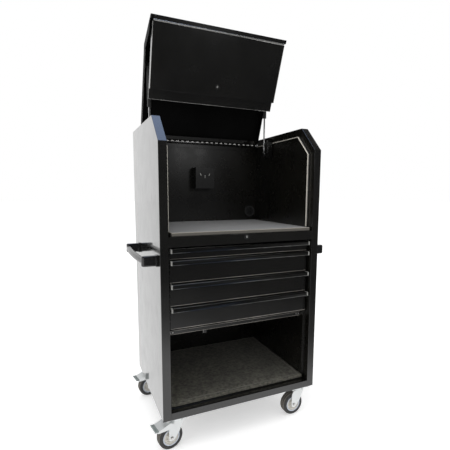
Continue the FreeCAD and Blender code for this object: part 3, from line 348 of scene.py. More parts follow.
TYRE_RUBBER = Finish("tyre_rubber", (0.050, 0.050, 0.048), (0.45, 0.62), Grain.PEBBLE, 0.0016, 0.00004,
                     drift=0.25, mottle=0.1)
TREAD_RUBBER = Finish("tread_rubber", (0.165, 0.150, 0.130), (0.6, 0.8), Grain.PEBBLE, 0.0016, 0.00006,
                      drift=0.25, mottle=0.15)
# Darker rubber for the tread grooves: painted shade.
GROOVE_SHADE = Finish("tyre_groove_painted_shade", (0.016, 0.016, 0.016), (0.6, 0.8), Grain.PEBBLE, 0.0016, 0.00006)
PEDAL_RUBBER = Finish("pedal_rubber", (0.30, 0.335, 0.33), (0.4, 0.55), Grain.PEBBLE, 0.0018, 0.00005)
STRUT_PAINT = Finish("strut_paint", (0.010, 0.010, 0.010), (0.24, 0.34), Grain.ORANGE_PEEL, 0.004,
                     0.00001, coat=0.5, coat_roughness=0.08)


# Mesh helpers
def crease(mesh: BMesh, rounded: Iterable[bmesh.types.BMFace] = (), angle: float = 32.0) -> None:
    """Shades a mesh smooth and keeps its corners and the borders of its roundings crisp.

    Args:
        mesh: The mesh.
        rounded: The faces of roundings, so that flat faces beside them stay flat.
        angle: Edges sharper than this many degrees stay sharp.
    """
    fresh = set(rounded)
    limit = math.radians(angle)
    for face in mesh.faces:
        face.smooth = True
    for edge in mesh.edges:
        border = len({face in fresh for face in edge.link_faces}) == 2
        edge.smooth = not border and edge.calc_face_angle(0.0) < limit


def round_edges(mesh: BMesh, edges: Sequence[bmesh.types.BMEdge], width: float, segments: int) -> None:
    """Rounds edges of a mesh and keeps the borders of the roundings crisp.

    Args:
        mesh: The mesh.
        edges: The edges to round.
        width: The size of the rounding in metres.
        segments: How many facets round each edge.
    """
    rounded = bmesh.ops.bevel(mesh, geom=edges, offset=width, offset_type="OFFSET", segments=segments,
                              profile=0.5, affect="EDGES", clamp_overlap=True, material=-1)["faces"]
    crease(mesh, rounded)


def finished_object(name: str, mesh: BMesh, body: str, finishes: Sequence[Finish]) -> bpy.types.Object:
    """Turns a bmesh into a piece that rides on a body.

    Args:
        name: The piece's name.
        mesh: The finished bmesh, in metres, in place. It is freed.
        body: The body that carries the piece.
        finishes: The finishes of its material slots.

    Returns:
        The new object.
    """
    data = bpy.data.meshes.new(name)
    mesh.to_mesh(data)
    mesh.free()
    for finish in finishes:
        data.materials.append(finish.material())
    piece = bpy.data.objects.new(name, data)
    bpy.context.scene.collection.objects.link(piece)
    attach(piece, body)
    log.info("built %s", name)
    return piece


def softened_copy(node: str, width: float, segments: int = 2) -> BMesh:
    """Copies a CAD node and rounds its sharp edges.

    Args:
        node: The node's name.
        width: The size of the rounding in metres.
        segments: How many facets round each edge.

    Returns:
        The rounded copy.
    """
    mesh = bmesh.new()
    mesh.from_mesh(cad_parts[node].data)
    bmesh.ops.remove_doubles(mesh, verts=mesh.verts, dist=1e-5)
    bmesh.ops.dissolve_limit(mesh, angle_limit=math.radians(0.5), verts=mesh.verts, edges=mesh.edges)
    sharp = [edge for edge in mesh.edges if len(edge.link_faces) == 2 and edge.calc_face_angle(0.0) > SHARP]
    round_edges(mesh, sharp, width, segments)
    bmesh.ops.triangulate(mesh, faces=[face for face in mesh.faces if len(face.verts) > 4])
    return mesh


def moved(mesh: BMesh, place: Matrix) -> BMesh:
    """Moves a whole bmesh by a matrix and returns it."""
    bmesh.ops.transform(mesh, matrix=place, verts=mesh.verts)
    return mesh


def stand_in(node: str, name: str, mesh: BMesh, body: str, finishes: Sequence[Finish]) -> bpy.types.Object:
    """Turns a bmesh into a piece that replaces a CAD node, which is hidden.

    Args:
        node: The node's name.
        name: The piece's name.
        mesh: The finished bmesh, in metres, in place. It is freed.
        body: The body that carries the piece.
        finishes: The finishes of its material slots.

    Returns:
        The new piece.
    """
    piece = finished_object(name, mesh, body, finishes)
    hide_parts(node)
    return piece


def dress_copy(node: str, body: str, finishes: Sequence[Finish], width: float, segments: int = 2,
               pick: Pick | None = None) -> None:
    """Replaces a CAD node with a copy of it whose edges are rounded.

    Args:
        node: The node's name.
        body: The body it rides on.
        finishes: Its finishes.
        width: The rounding in metres.
        segments: How many facets round each edge.
        pick: Gives the number of a face's finish from its middle and its normal.
    """
    mesh = softened_copy(node, width, segments)
    if pick:
        for face in mesh.faces:
            face.material_index = pick(face.calc_center_median(), face.normal)
    stand_in(node, f"{node}_formed", mesh, body, finishes)


def dress_node(node: str, finish: Finish) -> None:
    """Gives a CAD node a better material and keeps its shape.

    Args:
        node: The node's name.
        finish: Its finish.
    """
    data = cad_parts[node].data
    data.materials.clear()
    data.materials.append(finish.material())
    log.info("dressed %s", node)


def lathe(profile: Iterable[tuple[float, float]], place: Matrix, steps: int, angle: float = 40.0) -> BMesh:
    """Spins a closed outline of (radius, along) points about the local X axis.

    Args:
        profile: The outline, running from its inner side outwards and back.
        place: Where the turned shape goes.
        steps: How many facets go around.
        angle: Edges sharper than this many degrees stay sharp.

    Returns:
        The turned shape.
    """
    mesh = bmesh.new()
    verts = [mesh.verts.new((along, 0.0, radius)) for radius, along in profile]
    edges = [mesh.edges.new((start, end)) for start, end in zip(verts, verts[1:] + verts[:1])]
    bmesh.ops.spin(mesh, geom=verts + edges, cent=(0, 0, 0), axis=(1, 0, 0), angle=math.tau, steps=steps,
                   use_merge=True, use_duplicate=False)
    bmesh.ops.remove_doubles(mesh, verts=mesh.verts, dist=1e-6)
    bmesh.ops.recalc_face_normals(mesh, faces=mesh.faces)
    crease(moved(mesh, place), angle=angle)
    return mesh


def join_into(target: BMesh, extra: BMesh, material: int | None = None) -> None:
    """Adds one bmesh to another and frees it.

    Args:
        target: The mesh that grows.
        extra: The mesh that is added.
        material: The material slot of the added faces, or None to keep theirs.
    """
    if material is not None:
        for face in extra.faces:
            face.material_index = material
    carrier = bpy.data.meshes.new("carrier")
    extra.to_mesh(carrier)
    extra.free()
    target.from_mesh(carrier)
    bpy.data.meshes.remove(carrier)


def aimed(spot: Sequence[float], outward: Sequence[float]) -> Matrix:
    """Returns the matrix that puts a turned shape at a spot with its X axis along a direction."""
    turn = Vector((1, 0, 0)).rotation_difference(Vector(outward)).to_matrix().to_4x4()
    return Matrix.Translation(spot) @ turn


def bead(start: Sequence[float], end: Sequence[float], radius: float) -> BMesh:
    """Makes a thin rounded bar, as the rolled hem of a sheet.

    Args:
        start: Its first end.
        end: Its other end.
        radius: Its radius in metres.

    Returns:
        The bar.
    """
    length = (Vector(end) - Vector(start)).length
    tip = radius * 0.5
    shoulder = radius * 0.8
    profile = [(1e-5, 0.0), (shoulder, 0.0), (radius, tip), (radius, length - tip), (shoulder, length),
               (1e-5, length)]
    return lathe(profile, aimed(start, Vector(end) - Vector(start)), 12, 50.0)


def screw_heads(places: Sequence[tuple[Sequence[float], Sequence[float]]], radius: float) -> BMesh:
    """Makes low domed screw or rivet heads.

    Args:
        places: Pairs of a seat point and an outward direction.
        radius: The heads' radius.

    Returns:
        All the heads in one mesh.
    """
    heads = bmesh.new()
    profile = [(1e-5, radius * 0.45), (radius * 0.30, radius * 0.43), (radius * 0.62, radius * 0.34),
               (radius * 0.88, radius * 0.18), (radius, 0.0), (1e-5, 0.0)]
    for seat, outward in places:
        join_into(heads, lathe(profile, aimed(seat, outward), 16))
    return heads


def block(low: Sequence[float], high: Sequence[float], rounding: float, segments: int = 2) -> BMesh:
    """Makes a block with rounded edges.

    Args:
        low: Its lowest corner.
        high: Its highest corner.
        rounding: The width of the rounding.
        segments: How many facets round each edge.

    Returns:
        The block.
    """
    size = Vector(high) - Vector(low)
    middle = (Vector(high) + Vector(low)) / 2
    mesh = bmesh.new()
    bmesh.ops.create_cube(mesh, size=1.0, matrix=Matrix.Translation(middle) @ Matrix.Diagonal((*size, 1.0)))
    round_edges(mesh, mesh.edges[:], rounding, segments)
    return mesh


def drop_loose(mesh: BMesh, doomed: Callable[[Vector], bool]) -> None:
    """Removes each loose part of a mesh whose every vertex passes a test.

    Args:
        mesh: The mesh.
        doomed: The test of a vertex's place.
    """
    left = set(mesh.verts)
    gone = []
    while left:
        part = [left.pop()]
        for vert in part:
            for edge in vert.link_edges:
                other = edge.other_vert(vert)
                if other in left:
                    left.remove(other)
                    part.append(other)
        if all(doomed(vert.co) for vert in part):
            gone += part
    bmesh.ops.delete(mesh, geom=gone, context="VERTS")


# Cabinet
@dataclass
class Cabinet:
    """The sheet metal cabinet with its mats, seals, fittings and handles."""

    fold_radius: float = 0.0013
    panel_radius: float = 0.0006
    plate_radius: float = 0.0009
    mat_rounding: float = 0.0024
    groove_inset: float = 0.0120
    groove_wall: float = 0.0014
    groove_depth: float = 0.0010
    seal_rounding: float = 0.0011
    seal_break: float = 0.3052
    divider_lip: float = 0.016
    tongue_span: tuple[float, float] = (-0.165, -0.140)
    back_face: float = 0.250
    rivet_across: float = 0.299
    rivet_radius: float = 0.0026
    rivet_pitch: float = 0.112
    rivet_rise: float = 0.05
    rivet_count: int = 10
    screw_radius: float = 0.0030
    screw_places: tuple[float, ...] = (-0.297, -0.285, 0.285, 0.297)
    hem_half: float = 0.303
    hem_radius: float = 0.0010
    outer_half: float = 0.343
    grommet_spot: tuple[float, float, float] = (0.268, 0.2466, 0.764)
    flap_count: int = 8
    flap_reach: float = 0.0226
    outlet_middle: float = -0.0075
    outlet_pitch: float = 0.0225
    outlet_slot_rise: float = 0.942
    post_half: tuple[float, float] = (0.012, 0.0195)
    post_rise: float = 0.6145
    post_backs: tuple[float, float] = (-0.204, 0.150)
    collar_width: float = 0.0080
    collar_border: float = 0.0015

    def build(self) -> None:
        """Builds and dresses every piece of the cabinet."""
        for node in ("left_side_shell", "right_side_shell"):
            dress_copy(node, "cabinet", [BLACK_PAINT], self.fold_radius, 3)
        for node in ("left_inner_liner", "right_inner_liner", "back_panel", "hinge_rail", "worktop_deck",
                     "caster_channels"):
            dress_copy(node, "cabinet", [INNER_PAINT], self.panel_radius)
        for node in ("base_pan", "top_rail", "strut_wall_brackets"):
            dress_copy(node, "cabinet", [BLACK_PAINT], self.panel_radius)
        dress_copy("caster_plates", "cabinet", [ZINC], self.plate_radius)
        dress_node("cabinet_runners", ZINC)
        self.build_divider()
        self.build_mat("work_mat", [WORK_MAT, WORK_MAT_EDGE, WORK_MAT_RIM_HIGHLIGHT], False)
        self.build_mat("lower_mat", [LOWER_MAT, LOWER_MAT, LOWER_MAT_GROOVE], True)
        self.build_seals()
        self.build_hems()
        self.build_rivets()
        self.build_outlet()
        self.build_grommet()
        self.build_handles()

    def build_mat(self, node: str, finishes: Sequence[Finish], grooved: bool) -> None:
        """Builds a foam mat with a textured skin on top and bare foam at its cut edges.

        Args:
            node: The mat's node.
            finishes: The finishes of its top, of its edges, and of its upper rounding, whose lighter colour
                is a painted highlight, or of its groove.
            grooved: Whether a shallow groove runs around its top.
        """
        low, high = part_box(node)
        mesh = block(low, high, self.mat_rounding, 3)
        top = [face for face in mesh.faces if face.normal.z > 0.99]
        sides = []
        if grooved:
            bmesh.ops.inset_region(mesh, faces=top, thickness=self.groove_inset)
            for depth in (-self.groove_depth, self.groove_depth):
                wall = bmesh.ops.inset_region(mesh, faces=top, thickness=self.groove_wall, depth=depth)
                sides += wall["faces"]
        # Without a groove, the upward-facing rounding gets the lighter third finish, a painted highlight.
        for face in mesh.faces:
            face.material_index = 2 if face.normal.z > 0.3 and not grooved else 1
        for face in top:
            face.material_index = 0
        for face in sides:
            face.material_index = 2
        piece = stand_in(node, f"{node}_foam", mesh, "cabinet", finishes)

    def build_divider(self) -> None:
        """Builds the divider shelf, with a painted highlight in bright steel on the left-facing edges of its
        latch tongue.
        """
        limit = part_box("divider_shelf")[1].z - self.divider_lip - 0.0004
        left, right = self.tongue_span

        def pick(middle: Vector, normal: Vector) -> int:
            """Tells the left-facing edges of the tongue below the lip, which carry a painted highlight, from
            the black sheet.
            """
            return 1 if middle.z < limit and left < middle.x < right and normal.x < -0.3 else 0

        dress_copy("divider_shelf", "cabinet", [BLACK_PAINT, BRIGHT_STEEL], self.panel_radius, 2, pick)

    def build_seals(self) -> None:
        """Builds the foam seals, which are pale on the inner half and dark on the outer half."""
        mesh = softened_copy("opening_seals", self.seal_rounding, 3)
        for side in (-1, 1):
            cut = mesh.verts[:] + mesh.edges[:] + mesh.faces[:]
            place = (side * self.seal_break, 0, 0)
            bmesh.ops.bisect_plane(mesh, geom=cut, plane_co=place, plane_no=(1, 0, 0))
        for face in mesh.faces:
            face.material_index = 1 if abs(face.calc_center_median().x) > self.seal_break else 0
        piece = stand_in("opening_seals", "opening_seals_foam", mesh, "cabinet", [SEAL_FOAM, TYRE_RUBBER])

    def build_hems(self) -> None:
        """Builds thin beads along the upper and the lower edge of the divider's lip, whose light colour is a
        painted highlight.
        """
        low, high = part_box("divider_shelf")
        back = low.y - 0.0004
        hems = bmesh.new()
        for up in (high.z - 0.0010, high.z - 0.0155):
            join_into(hems, bead((-self.hem_half, back, up), (self.hem_half, back, up), self.hem_radius))
        finished_object("divider_highlight_hems", hems, "cabinet", [HEM_HIGHLIGHT])

    def build_rivets(self) -> None:
        """Sets rivets along the back panel and screws in the divider's lip."""
        rivets = []
        for side in (-1, 1):
            for number in range(self.rivet_count):
                up = BOTTOM + self.rivet_rise + self.rivet_pitch * number
                rivets.append(((side * self.rivet_across, self.back_face, up), (0, 1, 0)))
        heads = screw_heads(rivets, self.rivet_radius)
        finished_object("back_panel_rivets", heads, "cabinet", [BLACK_PAINT])
        low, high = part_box("divider_shelf")
        lip = high.z - self.divider_lip / 2
        screws = [((across, low.y, lip), (0, -1, 0)) for across in self.screw_places]
        heads = screw_heads(screws, self.screw_radius)
        finished_object("divider_screws", heads, "cabinet", [BRIGHT_STEEL])

    def build_outlet(self) -> None:
        """Builds the outlet: box, cover, core and the slanted shutters behind its slots."""
        dress_copy("outlet_box", "cabinet", [BLACK_PAINT], self.panel_radius)
        dress_copy("outlet_plate", "cabinet", [BLACK_PLASTIC], self.plate_radius, 3)
        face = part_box("outlet_plate")[0].y
        up = BOTTOM + self.outlet_slot_rise
        middle = self.outlet_middle
        core = block((middle - 0.036, face + 0.0021, up - 0.016), (middle + 0.036, face + 0.014, up + 0.026),
                     0.001)
        finished_object("outlet_core", core, "cabinet", [BLACK_PLASTIC])
        shutters = bmesh.new()
        for place in (-1, 0, 1):
            bar = block((-0.0014, -0.0006, -0.0062), (0.0014, 0.0006, 0.0062), 0.0004)
            spot = (middle + self.outlet_pitch * place, face + 0.0015, up + 0.009 * abs(place))
            slant = Matrix.Rotation(math.radians(24.0 * place), 4, "Y")
            join_into(shutters, moved(bar, Matrix.Translation(spot) @ slant))
        finished_object("outlet_shutters", shutters, "cabinet", [SHUTTER_GREY])

    def build_grommet(self) -> None:
        """Builds the cable grommet with its eight rubber flaps and the disc behind them."""
        dress_copy("cable_grommet", "cabinet", [GRIP_PLASTIC], 0.0012, 3)
        reach = self.flap_reach
        step = math.tau / self.flap_count
        flaps = bmesh.new()
        for number in range(self.flap_count):
            flap = bmesh.new()
            turns = [math.radians(degrees) for degrees in (-21.6, -10.8, 0.0, 10.8, 21.6)]
            rim = [flap.verts.new((reach * math.sin(turn), 0.0, reach * math.cos(turn))) for turn in turns]
            tip = flap.verts.new((0.0, -0.0010, 0.0016))
            for start, end in zip(rim, rim[1:]):
                flap.faces.new((tip, start, end))
            flap.normal_update()
            bmesh.ops.solidify(flap, geom=flap.faces[:], thickness=0.0012)
            bmesh.ops.recalc_face_normals(flap, faces=flap.faces)
            crease(flap, angle=25.0)
            join_into(flaps, moved(flap, Matrix.Rotation(step * number + math.radians(11.0), 4, "Y")))
        backing = [(1e-5, 0.0022), (0.0224, 0.0022), (0.0224, 0.0016), (1e-5, 0.0016)]
        join_into(flaps, lathe(backing, Matrix.Rotation(math.radians(90.0), 4, "Z"), 32))
        across, back, rise = self.grommet_spot
        moved(flaps, Matrix.Translation((across, back, BOTTOM + rise)))
        finished_object("grommet_flaps", flaps, "cabinet", [BLACK_PLASTIC])

    def build_handles(self) -> None:
        """Builds the posts with their wall collars, and the bowed grips."""
        dress_copy("handle_posts", "cabinet", [POST_PLASTIC], 0.0055, 4)
        dress_copy("handle_grips", "cabinet", [GRIP_PLASTIC], 0.0010, 2)
        half_deep, half_high = (half + self.collar_border for half in self.post_half)
        up = BOTTOM + self.post_rise
        collars = bmesh.new()
        for side in (-1, 1):
            near, far = sorted((side * self.outer_half, side * (self.outer_half + self.collar_width)))
            for back in self.post_backs:
                low = (near, back - half_deep, up - half_high)
                high = (far, back + half_deep, up + half_high)
                join_into(collars, block(low, high, 0.0012, 3))
        finished_object("handle_collars", collars, "cabinet", [POST_PLASTIC])


# Drawers
@dataclass
class Drawer:
    """One drawer with its box and its full-width pull."""

    number: int
    half: float = 0.303
    cap: float = 0.006
    edge_radius: float = 0.0006
    hem_radius: float = 0.0013
    rib_radius: float = 0.0006
    lip_back: float = -0.247
    face_back: float = -0.225
    pull_height: float = 0.016

    def build(self) -> None:
        """Builds the box, the pull, and a bead along the foot of the front whose light colour is a painted
        highlight.
        """
        body = f"drawer_{self.number}"
        dress_copy(f"{body}_box", body, [BLACK_PAINT], self.edge_radius)
        low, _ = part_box(f"{body}_box")
        reach, back, up = self.half - 0.001, self.face_back - 0.0006, low.z + 0.0014
        # The light bead along the front's lower edge is a painted highlight.
        hem = bead((-reach, back, up), (reach, back, up), self.hem_radius)
        finished_object(f"{body}_hem", hem, body, [HEM_HIGHLIGHT])
        self.build_pull(body)

    def build_pull(self, body: str) -> None:
        """Builds the pull: a black bar with grey end caps and two thin ribs whose light colour is a painted
        highlight.

        Args:
            body: The drawer's body.
        """
        node = f"{body}_pull"
        mesh = softened_copy(node, self.edge_radius)
        start = self.half - self.cap - 0.0001
        for face in mesh.faces:
            face.material_index = 1 if abs(face.calc_center_median().x) > start else 0
        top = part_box(node)[1].z
        reach = self.half - self.cap - 0.0008
        for back, up in (
            (self.lip_back + 0.0004, top - self.pull_height + 0.0010),
            (self.lip_back + 0.0034, top - 0.0003),
        ):
            join_into(mesh, bead((-reach, back, up), (reach, back, up), self.rib_radius), 2)
        stand_in(node, f"{node}_formed", mesh, body, [PULL_BLACK, CAP_GREY, PULL_HIGHLIGHT])


# Lid
@dataclass(frozen=True)
class LidFrame:
    """Turns distances along and above the closed lid into places on the open lid."""

    pivot_back: float = 0.240
    pivot_rise: float = 1.110
    opened: float = math.radians(69.3)

    def spot(self, across: float, along: float, above: float) -> Vector:
        """Returns the place of a point on the open lid.

        Args:
            across: Its distance right of the middle.
            along: Its distance forward of the pivot when the lid is closed.
            above: Its height over the pivot when the lid is closed.

        Returns:
            The place in the model's frame.
        """
        back = self.pivot_back - along * math.cos(self.opened) + above * math.sin(self.opened)
        up = self.pivot_rise + along * math.sin(self.opened) + above * math.cos(self.opened)
        return Vector((across, back, BOTTOM + up))

    def outward(self) -> Vector:
        """Returns the direction that the folded door's outer face looks in."""
        return Vector((0.0, -math.sin(self.opened), -math.cos(self.opened)))


@dataclass
class Lid:
    """The raised lid, its folding door, hinges, locks and struts."""

    plan: LidFrame = field(default_factory=LidFrame)
    fold_radius: float = 0.0009
    bracket_radius: float = 0.0006
    plate_radius: float = 0.0005
    leaf_radius: float = 0.0002
    door_half: float = 0.299
    door_span: tuple[float, float] = (0.188, 0.478)
    step_along: float = 0.231
    outer_face: float = -0.095
    lip_face: float = -0.078
    cheek_half: float = 0.3052
    cheek_span: tuple[float, float] = (0.020, 0.375)
    cheek_hem_above: float = -0.0020
    end_hem_radius: float = 0.0011
    lip_hem_radius: float = 0.0012
    cheek_hem_radius: float = 0.0009
    lock_along: float = 0.271
    lower_lock: tuple[float, float] = (-0.250, 0.6925)
    strut_eye_rise: float = 1.055

    def build(self) -> None:
        """Builds the lid, the door, the hinges, the locks and the struts."""
        self.build_roof()
        dress_copy("lid_strut_brackets", "lid", [BLACK_PAINT], self.bracket_radius)
        dress_copy("door_panel", "door", [DOOR_PAINT], self.fold_radius)
        dress_copy("door_back_plate", "door", [BLACK_PAINT], self.plate_radius)
        self.build_hinges()
        self.build_hems()
        spot = self.plan.spot(0.0, self.lock_along, self.outer_face)
        self.build_lock("door_lock_plug", "door_lock", spot, self.plan.outward())
        back, rise = self.lower_lock
        spot = Vector((0.0, back, BOTTOM + rise))
        self.build_lock("drawer_lock_plug", "drawer_lock", spot, Vector((0, -1, 0)))
        self.build_struts()

    def build_roof(self) -> None:
        """Builds the lid's sheet, satin outside and matt on its cheeks and under its roof."""
        inside = self.plan.outward()

        def pick(middle: Vector, normal: Vector) -> int:
            """Tells the cheeks and the underside from the roof's outside."""
            return 1 if abs(normal.x) > 0.7 or normal.dot(inside) > 0.7 else 0

        dress_copy("lid_shell", "lid", [LID_PAINT, CHEEK_PAINT], self.fold_radius, 2, pick)

    def build_hinges(self) -> None:
        """Builds the two piano hinges: black leaves with bright knuckles, and bright pins."""
        for hinge, leaf, body, reach, knuckles in (
            ("lid_hinge", "cabinet", "cabinet", 0.0046, KNUCKLE_STEEL),
            ("lid_hinge", "lid", "lid", 0.0043, BLACK_PAINT),
            ("door_hinge", "nose", "lid", 0.0038, BRIGHT_STEEL),
            ("door_hinge", "door", "door", 0.0038, BRIGHT_STEEL),
        ):
            low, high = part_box(f"{hinge}_pin")
            self.build_leaf(f"{hinge}_{leaf}_leaf", body, (low + high) / 2, reach, knuckles)
        for hinge in ("lid_hinge", "door_hinge"):
            dress_node(f"{hinge}_pin", BRIGHT_STEEL)

    def build_leaf(self, node: str, body: str, axis: Vector, reach: float, knuckles: Finish) -> None:
        """Builds one hinge leaf.

        Args:
            node: The leaf's node.
            body: The body it rides on.
            axis: A point on the pin's axis.
            reach: How far the knuckles reach from that axis.
            knuckles: The finish of the knuckles.
        """
        def pick(middle: Vector, normal: Vector) -> int:
            """Tells the knuckles, which are round the pin, from the flat leaf."""
            return 1 if math.hypot(middle.y - axis.y, middle.z - axis.z) < reach else 0

        dress_copy(node, body, [BLACK_PAINT, knuckles], self.leaf_radius, 1, pick)

    def build_hems(self) -> None:
        """Builds bright beads along the door's ends and lower edge and along the lid's cheeks; their light
        colour is a painted highlight.
        """
        spot = self.plan.spot
        low_along, high_along = self.door_span
        above = self.outer_face + 0.0007
        hems = bmesh.new()
        for side in (-1, 1):
            across = side * (self.door_half - 0.0006)
            start, end = spot(across, self.step_along, above), spot(across, high_along - 0.002, above)
            join_into(hems, bead(start, end, self.end_hem_radius))
        across = self.door_half - 0.002
        edge = (low_along + 0.0012, self.lip_face - 0.0002)
        join_into(hems, bead(spot(-across, *edge), spot(across, *edge), self.lip_hem_radius))
        # Bright steel on these beads is a painted highlight along the door's edges.
        finished_object("door_highlight_hems", hems, "door", [BRIGHT_STEEL])
        cheeks = bmesh.new()
        for across in (-self.cheek_half, self.cheek_half):
            start, end = (spot(across, along, self.cheek_hem_above) for along in self.cheek_span)
            join_into(cheeks, bead(start, end, self.cheek_hem_radius))
        finished_object("lid_cheek_highlight_hems", cheeks, "lid", [HEM_HIGHLIGHT])

    def build_lock(self, node: str, body: str, spot: Vector, outward: Vector) -> None:
        """Builds a key lock: a black flange round a steel face with its keyway, and a light block round the
        keyway that is a painted highlight.

        Args:
            node: The lock's node.
            body: The body it rides on.
            spot: Where its axis meets the sheet's outer face.
            outward: The direction it looks in.
        """
        profile = [
            (1e-5, -0.0190), (0.0088, -0.0190), (0.0088, 0.0002), (0.0108, 0.0002), (0.0110, 0.0012),
            (0.0104, 0.0024), (0.0092, 0.0029), (0.0084, 0.0027), (0.0078, 0.0019), (0.0074, 0.0019),
            (0.0070, 0.0026), (1e-5, 0.0027),
        ]
        mesh = lathe(profile, Matrix.Identity(4), 40)
        for face in mesh.faces:
            middle = face.calc_center_median()
            face.material_index = 1 if middle.x > 0.0015 and math.hypot(middle.y, middle.z) < 0.0080 else 0
        # The light block round the keyway is a painted highlight.
        join_into(mesh, block((0.0024, -0.0024, -0.0040), (0.0029, 0.0024, 0.0040), 0.0002), 2)
        join_into(mesh, block((0.0028, -0.0007, -0.0032), (0.0030, 0.0007, 0.0032), 0.00008), 0)
        finishes = [BLACK_PLASTIC, LOCK_STEEL, KEYWAY_HIGHLIGHT]
        stand_in(node, f"{node}_turned", moved(mesh, aimed(spot, outward)), body, finishes)

    def build_struts(self) -> None:
        """Builds the gas struts: chromed rods with black eyes in black tubes."""
        limit = BOTTOM + self.strut_eye_rise + 0.009

        def pick(middle: Vector, normal: Vector) -> int:
            """Tells the chromed shank from the eye at its lower end."""
            return 0 if middle.z > limit else 1

        for side in ("left", "right"):
            dress_copy(f"{side}_strut_rod", f"{side}_strut_lower", [CHROME, STRUT_PAINT], 0.0005, 2, pick)
            dress_copy(f"{side}_strut_tube", f"{side}_strut_upper", [STRUT_PAINT], 0.0009, 3)


